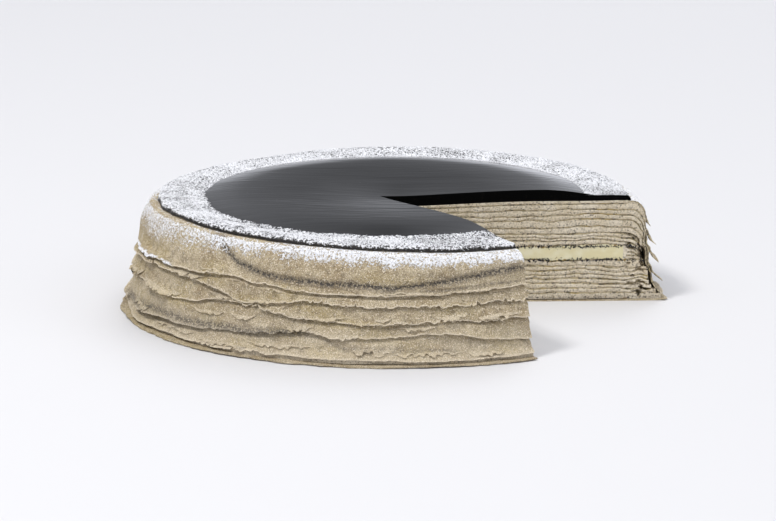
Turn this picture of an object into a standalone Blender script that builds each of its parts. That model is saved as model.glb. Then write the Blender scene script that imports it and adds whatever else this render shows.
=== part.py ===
"""A black sesame crepe cake with one slice cut out.

Eighteen crepes are stacked with sesame cream between them. A custard disc runs through the
middle of the stack, and a dark ganache layer and a glaze disc lie on top. The five topmost
crepes are wider than the stack, so each one turns down over the shoulder and hangs outside
the crepes below it, where it ends in a flared, wavy lip.

Lengths are in metres, +Z is up, and the origin is the centre of the cake's underside.
"""

import math

import bpy

MM = 0.001

# The circle and the cut. The knife went slightly past the middle of the cake.
LAYER_RADIUS = 109.0 * MM
CUT_APEX = (-6.5 * MM, -1.0 * MM)
CUT_BACK_DEG = 2.0
CUT_FRONT_DEG = -57.5
COLUMNS = 24

# The stack, from the base up. The creams were spread by hand, so each has its own thickness.
CREPE = 0.7 * MM
GAP = 0.2 * MM
LOWER_CREAMS = [thickness * MM for thickness in (2.4, 1.1, 1.1, 0.8, 0.6, 1.2, 0.9, 1.5)]
CUSTARD_HEIGHT = 5.8 * MM
UPPER_CREAMS = [thickness * MM for thickness in (1.2, 0.6, 0.7, 1.6, 2.1, 1.2, 1.4, 1.5)]
TOP_CREAM = 0.9 * MM
GANACHE_HEIGHT = 2.3 * MM
GLAZE_HEIGHT = 2.6 * MM

# Radii of the pieces that differ from the plain layers
BASE_CREPE_RADIUS = 123.5 * MM
BASE_RISE = 0.5 * MM
BASE_RIM = 1.0 * MM
LOWER_LAYER_RADIUS = 111.0 * MM
LOWER_CREAM_INSET = 1.5 * MM
UPPER_CREAM_INSET = 1.0 * MM
CUSTARD_RADIUS = 103.5 * MM
COLLAR_GAP = 0.3 * MM
COLLAR_ROUND = 1.8 * MM
TOP_CREAM_RADIUS = 105.6 * MM
GANACHE_RADIUS = 106.5 * MM
GANACHE_ROUND = 1.4 * MM
GLAZE_RADIUS = 91.0 * MM
GLAZE_SHOULDER_START = 72.0 * MM
GLAZE_SHOULDER_MIDDLE = 83.0 * MM
GLAZE_MIDDLE_DROP = 0.6
GLAZE_EDGE = 0.3 * MM
LAYER_STEP = 1.0 * MM

# The top of the cake sinks towards its middle, and the sinking fades out down to the custard.
SINK_DEPTH = 3.0 * MM
SINK_RADIUS = 65.0 * MM
SINK_STATION = 42.0 * MM
SINK_POWER = 1.3

# The hanging skirts, outermost first: height of the lip above the base, and its flare
SKIRTS = (
    (31.5 * MM, 2.6 * MM),
    (26.0 * MM, 2.4 * MM),
    (19.0 * MM, 3.6 * MM),
    (11.0 * MM, 4.6 * MM),
    (3.6 * MM, 6.4 * MM),
)
SKIRT_PITCH = 1.0 * MM
SKIRT_RADIUS = 114.0 * MM
SKIRT_TOP = 39.5 * MM
SKIRT_SLOPE = 0.11
SHOULDER_WIDTH = 7.0 * MM
SHOULDER_DROP = 6.5 * MM
SHOULDER_TURNS = (38.0, 68.0, 90.0)
LIP_HEIGHT = 4.5 * MM
LIP_WAVE = 1.1 * MM
LIP_THINNING = 0.7

CREPE_COLOUR = (0.36, 0.30, 0.20)
CREAM_COLOUR = (0.55, 0.48, 0.36)
CUSTARD_COLOUR = (0.62, 0.57, 0.39)
GANACHE_COLOUR = (0.012, 0.010, 0.008)
GLAZE_COLOUR = (0.004, 0.004, 0.004)


def clear_scene():
    """Removes the objects that the start-up scene holds."""
    for old in list(bpy.data.objects):
        bpy.data.objects.remove(old)


def make_material(name, colour, roughness):
    """A plain food surface."""
    material = bpy.data.materials.new(name)
    material.use_nodes = True
    shader = material.node_tree.nodes["Principled BSDF"]
    shader.inputs["Base Color"].default_value = (*colour, 1.0)
    shader.inputs["Roughness"].default_value = roughness
    shader.inputs["Metallic"].default_value = 0.0
    return material


def cut_angles():
    """Directions from the cut's apex, from the back cut face round to the front one."""
    kept = 360.0 + CUT_FRONT_DEG - CUT_BACK_DEG
    return [math.radians(CUT_BACK_DEG + kept * step / COLUMNS) for step in range(COLUMNS + 1)]


def point_at(angle, radius, height):
    """The point in that direction from the apex that lies at that radius from the cake's axis."""
    dx, dy = math.cos(angle), math.sin(angle)
    ax, ay = CUT_APEX
    along = ax * dx + ay * dy
    reach = -along + math.sqrt(max(along * along - ax * ax - ay * ay + radius * radius, 0.0))
    return (ax + reach * dx, ay + reach * dy, height)


def apex_radius():
    """How far the cut's apex is from the cake's axis."""
    return math.hypot(*CUT_APEX)


def crepe_bottoms(start, creams):
    """Heights of the undersides of crepes that have those creams between them."""
    heights = [start]
    for cream in creams:
        heights.append(heights[-1] + CREPE + cream + 2 * GAP)
    return heights


def custard_bottom():
    """Height of the custard's underside."""
    return crepe_bottoms(0.0, LOWER_CREAMS)[-1] + CREPE + GAP


def custard_top():
    """Height of the custard's upper side, above which the layers sink in the middle."""
    return custard_bottom() + CUSTARD_HEIGHT


def upper_bottoms():
    """Heights of the undersides of the crepes above the custard."""
    return crepe_bottoms(custard_top() + GAP, UPPER_CREAMS)


def ganache_bottom():
    """Height of the ganache's underside, on the thin topmost cream."""
    return upper_bottoms()[-1] + CREPE + TOP_CREAM + 2 * GAP


def cake_top():
    """Height of the glaze's upper side, away from the sunken middle."""
    return ganache_bottom() + GANACHE_HEIGHT + GAP + GLAZE_HEIGHT


def sunk(radius, height):
    """The height that the sinking middle gives a point of the flat stack."""
    share = max(0.0, (height - custard_top()) / (cake_top() - custard_top()))
    slope = max(0.0, 1.0 - radius / SINK_RADIUS)
    return height - SINK_DEPTH * share * slope**SINK_POWER


def build_solid(name, profile_at, material):
    """A solid swept round the axis from one cut face to the other.

    profile_at(angle) gives (radius, height) points, from the apex's upper point outwards over
    the top, round the rim and back under the piece to the apex's lower point.
    """
    angles = cut_angles()
    profiles = [profile_at(angle) for angle in angles]
    count = len(profiles[0])
    points = [(*CUT_APEX, profiles[0][0][1]), (*CUT_APEX, profiles[0][-1][1])]
    for angle, profile in zip(angles, profiles):
        points += [point_at(angle, *station) for station in profile[1:-1]]

    def index(column, station):
        if station == 0:
            return 0
        if station == count - 1:
            return 1
        return 2 + column * (count - 2) + station - 1

    faces = []
    for column in range(COLUMNS):
        for station in range(count - 1):
            corners = [
                index(column, station),
                index(column, station + 1),
                index(column + 1, station + 1),
                index(column + 1, station),
            ]
            faces.append(list(dict.fromkeys(corners)))
    faces.append([index(0, station) for station in reversed(range(count))])
    faces.append([index(COLUMNS, station) for station in range(count)])
    return add_object(name, points, faces, material)


def build_ring(name, profile, material):
    """An open ring swept from one cut face to the other, for a closed loop of stations."""
    angles = cut_angles()
    count = len(profile)
    points = [point_at(angle, *station) for angle in angles for station in profile]
    faces = []
    for column in range(COLUMNS):
        for station in range(count):
            following = (station + 1) % count
            faces.append(
                [
                    column * count + station,
                    column * count + following,
                    (column + 1) * count + following,
                    (column + 1) * count + station,
                ]
            )
    faces.append([station for station in reversed(range(count))])
    faces.append([COLUMNS * count + station for station in range(count)])
    return add_object(name, points, faces, material)


def add_object(name, points, faces, material):
    """Links a new mesh object, smooth but for its edges."""
    mesh = bpy.data.meshes.new(name)
    mesh.from_pydata(points, [], faces)
    mesh.materials.append(material)
    mesh.shade_smooth()
    mesh.set_sharp_from_angle(angle=math.radians(35))
    made = bpy.data.objects.new(name, mesh)
    bpy.context.scene.collection.objects.link(made)
    return made


def flat_layer(bottom, thickness, radius):
    """Profile of a layer below the custard, which lies flat."""

    def profile(_angle):
        inner = apex_radius()
        return [
            (inner, bottom + thickness),
            (radius, bottom + thickness),
            (radius, bottom),
            (inner, bottom),
        ]

    return profile


def sunk_side(height, stations):
    """One side of a layer above the custard, at the given radii."""
    return [(radius, sunk(radius, height)) for radius in stations]


def sunk_layer(bottom, thickness, radius):
    """Profile of a layer above the custard, which follows the sunken middle."""

    def profile(_angle):
        stations = [apex_radius(), SINK_STATION, radius]
        upper = sunk_side(bottom + thickness, stations)
        return upper + sunk_side(bottom, stations)[::-1]

    return profile


def lip_height(order, angle):
    """Height of a skirt's lip: it wanders up and down as it goes round."""
    slow = math.sin(3 * angle + 1.7 * order)
    quick = math.sin(7 * angle + 2.9 * order + 0.8)
    return SKIRTS[order][0] + LIP_WAVE * (0.6 * slow + 0.4 * quick)


def wall_radius(order, height):
    """Outer radius of a skirt's wall, which leans outwards a little on its way down."""
    return SKIRT_RADIUS - SKIRT_PITCH * order + SKIRT_SLOPE * (SKIRT_TOP - height)


def skirt_over(order, top, inset, turns):
    """A skirt's outer side, or the side that far inside it, from the apex to the shoulder."""
    centre_height = top - SHOULDER_DROP
    centre_radius = wall_radius(order, centre_height) - SHOULDER_WIDTH
    side = sunk_side(top - inset, [apex_radius(), SINK_STATION, centre_radius])
    for degrees in turns:
        turn = math.radians(degrees)
        radius = centre_radius + (SHOULDER_WIDTH - inset) * math.sin(turn)
        side.append((radius, centre_height + (SHOULDER_DROP - inset) * math.cos(turn)))
    return side


def skirt_layer(order, top):
    """Profile of a wide crepe: flat on the stack, over the shoulder, down the side to its lip."""
    flare = SKIRTS[order][1]

    def outside(angle, inset):
        side = skirt_over(order, top, inset, SHOULDER_TURNS)
        end = lip_height(order, angle)
        side.append((wall_radius(order, end + LIP_HEIGHT) - inset, end + LIP_HEIGHT))
        thin = LIP_THINNING * inset
        side.append((wall_radius(order, end) + flare - thin, end - (inset - thin)))
        return side

    def profile(angle):
        return outside(angle, 0.0) + outside(angle, CREPE)[::-1]

    return profile


def cream_under_skirt(order, top, below):
    """Profile of the cream between a wide crepe and the top of the crepe below it.

    It follows the wide crepe part-way over the shoulder.
    """

    def profile(_angle):
        upper = skirt_over(order, top, CREPE + GAP, SHOULDER_TURNS[:1])
        if order + 1 < len(SKIRTS):
            lower = skirt_over(order + 1, below, -GAP, SHOULDER_TURNS[:1])
        else:
            lower = sunk_side(below + GAP, [apex_radius(), SINK_STATION])
            lower.append((upper[-1][0] - CREPE, below + GAP))
        return upper + lower[::-1]

    return profile


def base_crepe():
    """Profile of the lowest crepe, whose rim spreads out on the surface below the cake."""

    def profile(_angle):
        inner = apex_radius()
        return [
            (inner, CREPE),
            (LOWER_LAYER_RADIUS, CREPE),
            (BASE_CREPE_RADIUS - 2 * BASE_RIM, CREPE + BASE_RISE),
            (BASE_CREPE_RADIUS, CREPE),
            (BASE_CREPE_RADIUS - BASE_RIM, 0.0),
            (inner, 0.0),
        ]

    return profile


def ganache_layer(bottom):
    """Profile of the thin dark layer on the top crepe, with a rounded rim."""

    def profile(_angle):
        flat_end = GANACHE_RADIUS - GANACHE_ROUND
        upper = sunk_side(bottom + GANACHE_HEIGHT, [apex_radius(), SINK_STATION, flat_end])
        lower = sunk_side(bottom, [apex_radius(), SINK_STATION, GANACHE_RADIUS])
        rim = [(GANACHE_RADIUS, bottom + GANACHE_HEIGHT - GANACHE_ROUND)]
        return upper + rim + lower[::-1]

    return profile


def glaze_layer(bottom):
    """Profile of the glaze disc, whose border slopes down to a thin edge."""

    def profile(_angle):
        top = bottom + GLAZE_HEIGHT
        stations = [apex_radius(), SINK_STATION, GLAZE_SHOULDER_START]
        upper = sunk_side(top, stations)
        slope = [
            (GLAZE_SHOULDER_MIDDLE, top - GLAZE_MIDDLE_DROP * GLAZE_HEIGHT),
            (GLAZE_RADIUS, bottom + GLAZE_EDGE),
        ]
        lower = sunk_side(bottom, [apex_radius(), SINK_STATION, GLAZE_RADIUS])
        return upper + slope + lower[::-1]

    return profile


def build_lower_stack(crepe_material, cream_material):
    """The crepes and creams under the custard."""
    bottoms = crepe_bottoms(0.0, LOWER_CREAMS)
    build_solid("crepe_01", base_crepe(), crepe_material)
    for order, cream in enumerate(LOWER_CREAMS, 1):
        crepe_profile = flat_layer(bottoms[order], CREPE, LOWER_LAYER_RADIUS)
        build_solid(f"crepe_{order + 1:02d}", crepe_profile, crepe_material)
        bottom = bottoms[order] - GAP - cream
        cream_profile = flat_layer(bottom, cream, LOWER_LAYER_RADIUS - LOWER_CREAM_INSET)
        build_solid(f"cream_{order:02d}", cream_profile, cream_material)


def build_custard(custard_material, cream_material):
    """The custard disc and the collar of cream round it."""
    bottom, top = custard_bottom(), custard_top()
    build_solid("custard", flat_layer(bottom, CUSTARD_HEIGHT, CUSTARD_RADIUS), custard_material)
    inner, outer = CUSTARD_RADIUS + COLLAR_GAP, LAYER_RADIUS
    rounded = [(outer - COLLAR_ROUND, top), (outer, top - COLLAR_ROUND)]
    loop = [(inner, top), *rounded, (outer, bottom), (inner, bottom)]
    build_ring("cream_collar", loop, cream_material)


def build_upper_stack(crepe_material, cream_material):
    """The crepes and creams over the custard; the topmost crepes are the hanging ones."""
    bottoms = upper_bottoms()
    lower_crepes, lower_creams = len(LOWER_CREAMS) + 1, len(LOWER_CREAMS)
    first_skirt = len(bottoms) - len(SKIRTS)
    for order, bottom in enumerate(bottoms):
        skirt = len(bottoms) - 1 - order
        reach = LAYER_RADIUS - max(0, order - 1) * LAYER_STEP
        if order >= first_skirt:
            crepe = skirt_layer(skirt, bottom + CREPE)
        else:
            crepe = sunk_layer(bottom, CREPE, reach)
        build_solid(f"crepe_{lower_crepes + order + 1:02d}", crepe, crepe_material)
        if order == 0:
            continue
        if order >= first_skirt:
            cream = cream_under_skirt(skirt, bottom + CREPE, bottoms[order - 1] + CREPE)
        else:
            thickness = UPPER_CREAMS[order - 1]
            cream = sunk_layer(bottom - GAP - thickness, thickness, reach - UPPER_CREAM_INSET)
        build_solid(f"cream_{lower_creams + order:02d}", cream, cream_material)


def build_topping(cream_material, ganache_material, glaze_material):
    """The thin cream on the top crepe, the dark layer on it and the glaze disc on that."""
    order = len(LOWER_CREAMS) + len(UPPER_CREAMS) + 1
    cream = sunk_layer(ganache_bottom() - GAP - TOP_CREAM, TOP_CREAM, TOP_CREAM_RADIUS)
    build_solid(f"cream_{order:02d}", cream, cream_material)
    build_solid("ganache", ganache_layer(ganache_bottom()), ganache_material)
    glaze = glaze_layer(ganache_bottom() + GANACHE_HEIGHT + GAP)
    build_solid("glaze", glaze, glaze_material)


def main():
    clear_scene()
    crepe_material = make_material("crepe", CREPE_COLOUR, 0.75)
    cream_material = make_material("sesame_cream", CREAM_COLOUR, 0.6)
    custard_material = make_material("custard", CUSTARD_COLOUR, 0.5)
    ganache_material = make_material("ganache", GANACHE_COLOUR, 0.4)
    glaze_material = make_material("glaze", GLAZE_COLOUR, 0.12)
    build_lower_stack(crepe_material, cream_material)
    build_custard(custard_material, cream_material)
    build_upper_stack(crepe_material, cream_material)
    build_topping(cream_material, ganache_material, glaze_material)


main()
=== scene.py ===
"""Looks of a black sesame crepe cake with one slice cut out.

The stack of crepes and creams, the custard disc, the draped skirts with their torn lips, the
ganache, the mirror glaze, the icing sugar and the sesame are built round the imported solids.
Shapes are worked out in millimetres and turned to metres as they become meshes.
"""

import functools
import math
from collections import namedtuple

import bmesh
import bpy
import numpy as np
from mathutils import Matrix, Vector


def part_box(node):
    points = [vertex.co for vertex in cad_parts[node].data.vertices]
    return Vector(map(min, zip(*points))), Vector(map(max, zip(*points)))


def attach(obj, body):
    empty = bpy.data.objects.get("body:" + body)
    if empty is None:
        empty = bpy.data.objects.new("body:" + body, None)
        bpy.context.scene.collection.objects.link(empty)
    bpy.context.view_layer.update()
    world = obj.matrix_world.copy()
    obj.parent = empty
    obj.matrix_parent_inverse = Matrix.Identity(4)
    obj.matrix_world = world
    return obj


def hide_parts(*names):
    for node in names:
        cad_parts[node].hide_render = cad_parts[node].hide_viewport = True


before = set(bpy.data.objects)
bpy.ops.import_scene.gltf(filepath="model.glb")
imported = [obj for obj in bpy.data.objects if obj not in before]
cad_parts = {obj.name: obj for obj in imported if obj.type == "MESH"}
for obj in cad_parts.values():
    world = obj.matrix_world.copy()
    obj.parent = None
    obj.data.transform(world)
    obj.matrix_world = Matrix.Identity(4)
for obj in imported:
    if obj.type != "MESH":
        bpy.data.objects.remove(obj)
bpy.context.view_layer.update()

bl_info = {
    "name": "Sesame crepe cake",
    "version": (1, 0, 0),
    "blender": (4, 5, 0),
    "location": "3D View > Sidebar > Cake",
    "description": "Builds the visible layers, skirts, sugar and glaze of a cut crepe cake",
    "category": "Add Mesh",
}

MM = 0.001
BODY = "root"

# The cut, as the solids have it: where the two faces meet, and the directions they run in
APEX = np.array((-6.5, -1.0))
CUT_BACK = math.radians(2.0)
CUT_FRONT = math.radians(302.5)

# The sunken middle, which fades out down to the custard
SINK_DEPTH = 3.5
SINK_RADIUS = 65.0
SINK_ROUND = 14.0
SINK_POWER = 1.5

# The outermost skirt: its radius at the height of its top, its slope, and the shoulder's bend
SKIRT_RADIUS = 114.0
SKIRT_TOP = 39.5
SKIRT_SLOPE = 0.11
SKIRT_THICKNESS = 0.55
SHOULDER_WIDTH = 7.0
SHOULDER_DROP = 6.5
# How much smaller each inner skirt is, and how far the side steps back under each lip
SKIRT_PITCH = 1.0
SKIRT_COVER = 1.0
# The top crepe's flat rim turns up a little outside the ganache
LEDGE_START = 104.6
LEDGE_RISE = 0.9
# The circle along which lengths of the side are counted, and how the side spreads at its foot
SIDE_RADIUS = 115.0
FOOT_HEIGHT = 9.0
FOOT_SPREAD = 2.9

CREPES = [f"crepe_{order:02d}" for order in range(1, 19)]
CREAMS = [f"cream_{order:02d}" for order in range(1, 18)]
LOWER_CREPES = 9
# Where the upper layers end, inside the skirts
UPPER_RIM = 111.6


def top_of(node):
    """Height of a node's highest point, in millimetres."""
    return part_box(node)[1].z / MM


def rim_of(node):
    """Radius that a node reaches, in millimetres."""
    return -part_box(node)[0].x / MM


# Thickness of a crepe
CREPE = top_of("crepe_05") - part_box("crepe_05")[0].z / MM
TOP = {node: top_of(node) for node in CREPES + CREAMS + ["ganache", "glaze", "custard"]}
# The middle sinks above this height only
STILL_HEIGHT = TOP["custard"]
CAKE_TOP = TOP["glaze"]
# Heights of the two seams round the custard
UNDER_CUSTARD = TOP[CREPES[LOWER_CREPES - 1]]
OVER_CUSTARD = TOP[CREPES[LOWER_CREPES]] - CREPE


# ---------------------------------------------------------------- shapes
# Relief is patchy(place / length of a bump, ..., seed): lengths are in millimetres, and each
# seed is used for one relief only.


def smooth(value):
    """0 below 0, 1 above 1 and an even rise between them."""
    value = np.clip(value, 0.0, 1.0)
    return value * value * (3.0 - 2.0 * value)


@functools.lru_cache(maxsize=None)
def random_table(seed):
    return np.random.default_rng(seed).uniform(-1.0, 1.0, (64, 64))


def patchy(u, v, seed, crisp=1.0):
    """Random relief between -1 and 1, with bumps one unit across: steps, where it is crisp."""
    u, v = np.broadcast_arrays(np.asarray(u, float), np.asarray(v, float))
    table = random_table(seed)
    iu, iv = np.floor(u).astype(int), np.floor(v).astype(int)
    fu, fv = smooth((u - iu - 0.5) * crisp + 0.5), smooth(v - iv)
    near = table[iu % 64, iv % 64] * (1 - fu) + table[(iu + 1) % 64, iv % 64] * fu
    far = table[iu % 64, (iv + 1) % 64] * (1 - fu) + table[(iu + 1) % 64, (iv + 1) % 64] * fu
    return near * (1 - fv) + far * fv


def arc_at(azimuth):
    """Length along the side from azimuth zero."""
    return np.radians(azimuth) * SIDE_RADIUS


def heading(angle):
    return np.array((math.cos(angle), math.sin(angle)))


def reach(angle, radius):
    """Distance from the cut's apex, in that direction, to a circle round the cake's axis."""
    along = float(APEX @ heading(angle))
    return -along + np.sqrt(along * along - APEX @ APEX + radius * radius)


def ray(angle, distance, height):
    """Points in that direction from the apex."""
    dx, dy = heading(angle)
    return np.stack((APEX[0] + distance * dx, APEX[1] + distance * dy, height), axis=-1)


def radius_on(angle, distance):
    """Radius from the cake's axis of points in that direction from the apex."""
    dx, dy = heading(angle)
    return np.hypot(APEX[0] + distance * dx, APEX[1] + distance * dy)


def rim_azimuth(angle):
    """Azimuth, in degrees from 0 to 360, at which that direction meets the cake's side."""
    x, y = APEX + reach(angle, SIDE_RADIUS) * heading(angle)
    return math.degrees(math.atan2(y, x)) % 360.0


def sunk(radius, height):
    """The height that the sunken middle gives a point of the flat stack."""
    share = np.maximum(0.0, (height - STILL_HEIGHT) / (CAKE_TOP - STILL_HEIGHT))
    rounded = np.sqrt(radius * radius + SINK_ROUND * SINK_ROUND)
    slope = np.maximum(0.0, 1.0 - rounded / SINK_RADIUS)
    return height - SINK_DEPTH * share * slope**SINK_POWER


def seam_wave(radius, height, azimuth):
    """How far a seam between two layers strays from its level, because creams are uneven."""
    arc = arc_at(azimuth)
    wave = 0.5 * patchy(radius / 9.0 + arc / 31.0, height / 1.9, 74)
    wave = wave + 0.3 * patchy(radius / 3.7, height / 1.7, 75)
    inside = smooth((height - 0.9) / 2.0) * smooth((45.9 - height) / 3.0)
    return wave * inside * smooth((radius - 8.0) / 8.0)


def kept_angles(step):
    """Directions from the back cut face round to the front one, a step of the side apart."""
    count = int((CUT_FRONT - CUT_BACK) * SIDE_RADIUS / step)
    return np.linspace(CUT_BACK, CUT_FRONT, count + 1)


class Loft:
    """Collects the points and faces of a closed mesh, and values that its material reads."""

    def __init__(self):
        self.points, self.faces, self.push = [], [], []
        self.outer = []
        self.count = 0

    def put(self, points, outer, push=None):
        """Adds points and returns their numbers. outer marks the side that faces the air."""
        points = np.asarray(points, float).reshape(-1, 3)
        self.points.append(points)
        self.outer.append(np.broadcast_to(outer, len(points)).astype(float))
        self.push.append(np.zeros((len(points), 3)) if push is None else push)
        self.count += len(points)
        return np.arange(self.count - len(points), self.count)

    def quads(self, first, second, flip=False):
        """Faces between two equal rows of points."""
        rows = np.stack((first[:-1], first[1:], second[1:], second[:-1]), axis=1)
        self.faces += (rows[:, ::-1] if flip else rows).tolist()

    def bridge(self, first, at_first, second, at_second, flip=False):
        """Triangles between two rows that have different numbers of points."""
        i = j = 0
        while i < len(first) - 1 or j < len(second) - 1:
            last_first, last_second = i == len(first) - 1, j == len(second) - 1
            if last_second or (not last_first and at_first[i + 1] <= at_second[j + 1]):
                face = [first[i], first[i + 1], second[j]]
                i += 1
            else:
                face = [first[i], second[j + 1], second[j]]
                j += 1
            self.faces.append([int(n) for n in (face[::-1] if flip else face)])

    def build(self, name, values=None):
        """A mesh object in metres. values maps an attribute's name to a function of its points."""
        points = np.concatenate(self.points)
        mesh = bpy.data.meshes.new(name)
        mesh.from_pydata((risen(points) * MM).tolist(), [], self.faces)
        outer = np.concatenate(self.outer)
        store(mesh, "push", np.concatenate(self.push), vector=True)
        for key, function in (values or {}).items():
            store(mesh, key, function(points, outer))
        return finish_mesh(name, mesh)


def store(mesh, name, values, vector=False):
    """Keeps a value for each point of a mesh."""
    kind = "FLOAT_VECTOR" if vector else "FLOAT"
    attribute = mesh.attributes.new(name, kind, "POINT")
    key = "vector" if vector else "value"
    attribute.data.foreach_set(key, np.ascontiguousarray(values, np.float32).ravel())


def finish_mesh(name, mesh):
    """Merges doubled points, turns all faces outwards and links the object."""
    shell = bmesh.new()
    shell.from_mesh(mesh)
    bmesh.ops.remove_doubles(shell, verts=shell.verts, dist=1e-6)
    bmesh.ops.recalc_face_normals(shell, faces=shell.faces)
    shell.to_mesh(mesh)
    shell.free()
    mesh.shade_smooth()
    mesh.set_sharp_from_angle(angle=math.radians(50))
    made = bpy.data.objects.new(name, mesh)
    bpy.context.scene.collection.objects.link(made)
    return made


def put_cut_face(loft, angle, outer, inner, rows, first, ring, bulge, pits):
    """Adds a cut face as a fine grid. Returns its upper, lower, outermost and innermost row."""
    side = -1.0 if first else 1.0
    normal = side * np.array((-math.sin(angle), math.cos(angle), 0.0))
    across = np.linspace(0.0, 1.0, rows + 1)[None, :, None]
    grid = outer[:, None] * (1 - across) + inner[:, None] * across
    lift = bulge * 4.0 * across[..., 0] * (1 - across[..., 0])
    if pits is not None:
        lift = lift - pits(grid)
    from_apex = np.hypot(grid[..., 0] - APEX[0], grid[..., 1] - APEX[1])
    fade = np.ones(grid.shape[:2]) if ring else smooth(from_apex / 1.5)
    grid = grid + (lift * fade)[..., None] * normal
    outwards = np.zeros(grid.shape[:2])
    outwards[:, 0] = 1.0
    push = np.broadcast_to(normal, grid.shape) * fade[..., None]
    number = loft.put(grid, outwards.ravel(), push.reshape(-1, 3)).reshape(grid.shape[:2])
    for row in range(rows):
        loft.quads(number[:, row], number[:, row + 1], flip=first)
    return number[:, 0], number[:, -1], number[-1], number[0]


def put_section(loft, outer, inner, rows, ring):
    """Adds a section between the cut faces. Returns the same four rows as a cut face does."""
    top, bottom = loft.put(outer, 1.0), loft.put(inner, 0.0)
    middle = np.linspace(0.0, 1.0, rows + 1)[1:-1, None]
    rim_points = outer[-1] * (1 - middle) + inner[-1] * middle
    rim = np.concatenate((top[-1:], loft.put(rim_points, 1.0), bottom[-1:]))
    core = None
    if ring:
        core_points = outer[0] * (1 - middle) + inner[0] * middle
        core = np.concatenate((top[:1], loft.put(core_points, 0.0), bottom[:1]))
    return top, bottom, rim, core


def join_sections(loft, first, at_first, second, at_second, ring):
    """Faces between two neighbouring sections, each with its four rows and its shares."""
    if len(first[0]) == len(second[0]):
        loft.quads(first[0], second[0])
        loft.quads(first[1], second[1], flip=True)
    else:
        loft.bridge(first[0], at_first, second[0], at_second)
        loft.bridge(first[1], at_first, second[1], at_second, flip=True)
    loft.quads(first[2], second[2])
    if ring:
        loft.quads(first[3], second[3], flip=True)


def sweep(loft, shape, angles, fine, coarse, rows, ring=False, bulge=0.0, pits=None):
    """Sweeps a piece's section from the back cut face to the front one.

    shape(angle, shares) gives the outer and inner side of the section, from the apex outwards.
    The two cut faces are fine grids: bulge makes their middle stand out, and pits(points)
    gives how far each point is hollowed. A ring has no middle, so it is closed inside too.
    """
    previous = None
    for angle in angles:
        on_cut = angle in (angles[0], angles[-1])
        shares = fine if on_cut else coarse
        outer, inner = shape(angle, shares)
        if on_cut:
            first = previous is None
            here = put_cut_face(loft, angle, outer, inner, rows, first, ring, bulge, pits)
        else:
            here = put_section(loft, outer, inner, rows, ring)
        if previous is not None:
            join_sections(loft, *previous, here, shares, ring)
        previous = here, shares


def slab(loft, outer, inner):
    """A closed thin sheet between two equal grids of points."""
    rows, columns = outer.shape[:2]
    top = loft.put(outer, 1.0).reshape(rows, columns)
    bottom = loft.put(inner, 0.0).reshape(rows, columns)
    for row in range(rows - 1):
        loft.quads(top[row], top[row + 1])
        loft.quads(bottom[row], bottom[row + 1], flip=True)
    loft.quads(top[0], bottom[0], flip=True)
    loft.quads(top[-1], bottom[-1])
    loft.quads(top[:, 0], bottom[:, 0])
    loft.quads(top[:, -1], bottom[:, -1], flip=True)


# ---------------------------------------------------------------- the stack

# The rims of the upper layers: where they begin to bend down, over which width and how far
BEND_START = 102.8
BEND_WIDTH = 8.2
BEND_DROP = 6.5


def rim_droop(radius, height, azimuth):
    """How far the upper layers hang down at their rim, and how unrestful every rim is."""
    upper = smooth((height - STILL_HEIGHT + 0.6) / 0.5)
    fall = np.clip((radius - BEND_START) / BEND_WIDTH, 0.0, 0.985)
    hang = BEND_DROP * upper * (1.0 - np.sqrt(1.0 - fall * fall))
    arc = arc_at(azimuth)
    folds = patchy(radius / 3.6 + arc / 17.0, height / 2.7, 71)
    folds = 0.75 * folds * smooth((radius - 99.0) / 7.0) * smooth((33.0 - height) / 7.0)
    return hang * smooth((40.0 - height) / 4.0) + folds - seam_wave(radius, height, azimuth)


def layer_shape(top, bottom, radius, ragged, seed):
    """Section of a layer that ends inside the skirts. Without a radius it reaches them."""
    innermost = len(SKIRTS) - 1

    def shape(angle, shares):
        azimuth = rim_azimuth(angle)
        end = radius or wall_radius(innermost, azimuth, (top + bottom) / 2) - 0.9
        uneven = ragged * patchy(angle * SIDE_RADIUS / 4.0, seed, seed)
        distance = shares * (reach(angle, end) - ragged + uneven)
        at = radius_on(angle, distance)
        upper = sunk(at, top) - rim_droop(at, top, azimuth)
        lower = sunk(at, bottom) - rim_droop(at, bottom, azimuth)
        return ray(angle, distance, upper), ray(angle, distance, lower)

    return shape


# Gaps between the stack and the skirts that show in the cut: radius, height, half height
SLITS = (
    (111.4, 31.2, 2.3), (110.9, 21.4, 2.4), (111.6, 17.2, 1.6), (110.0, 3.6, 2.0),
    (111.4, 6.0, 1.5),
)


def cave(points):
    """Hollows that open between the folded rims, near the outside of a cut face."""
    radius, height = np.hypot(points[..., 0], points[..., 1]), points[..., 2]
    holes = patchy(radius / 2.2, height / 1.1, 77)
    depth = 2.0 * smooth((radius - 103.0) / 3.0) * smooth((holes - 0.45) / 0.2)
    for middle, level, half in SLITS:
        lean = (radius - middle + 0.3 * (height - level)) / 0.75
        inside = 1.0 - lean**2 - ((height - level) / half) ** 2
        depth = np.maximum(depth, 3.5 * smooth(2.0 * inside))
    return depth


def cut_shares(length, step):
    """Even shares of a length, a step apart."""
    return np.linspace(0.0, 1.0, int(length / step) + 1)


# Places along a layer's section between the cut faces, closer together towards its rim
LAYER_SHARES = np.array((0, 0.1, 0.22, 0.34, 0.46, 0.58, 0.7, 0.8, 0.87, 0.92, 0.96, 1.0))


def build_layer(name, top, bottom, radius, rows, bulge, ragged, seed):
    """One layer of the stack, with its crumb on the cut faces."""
    loft = Loft()
    sizes = bpy.context.scene.cake_sizes
    sweep(
        loft,
        layer_shape(top, bottom, radius, ragged, seed),
        kept_angles(6.0),
        cut_shares(radius or SIDE_RADIUS, sizes.crumb_step / MM),
        LAYER_SHARES,
        rows,
        bulge=bulge,
        pits=cave,
    )
    return loft.build(name)


# ---------------------------------------------------------------- the draped side

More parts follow.
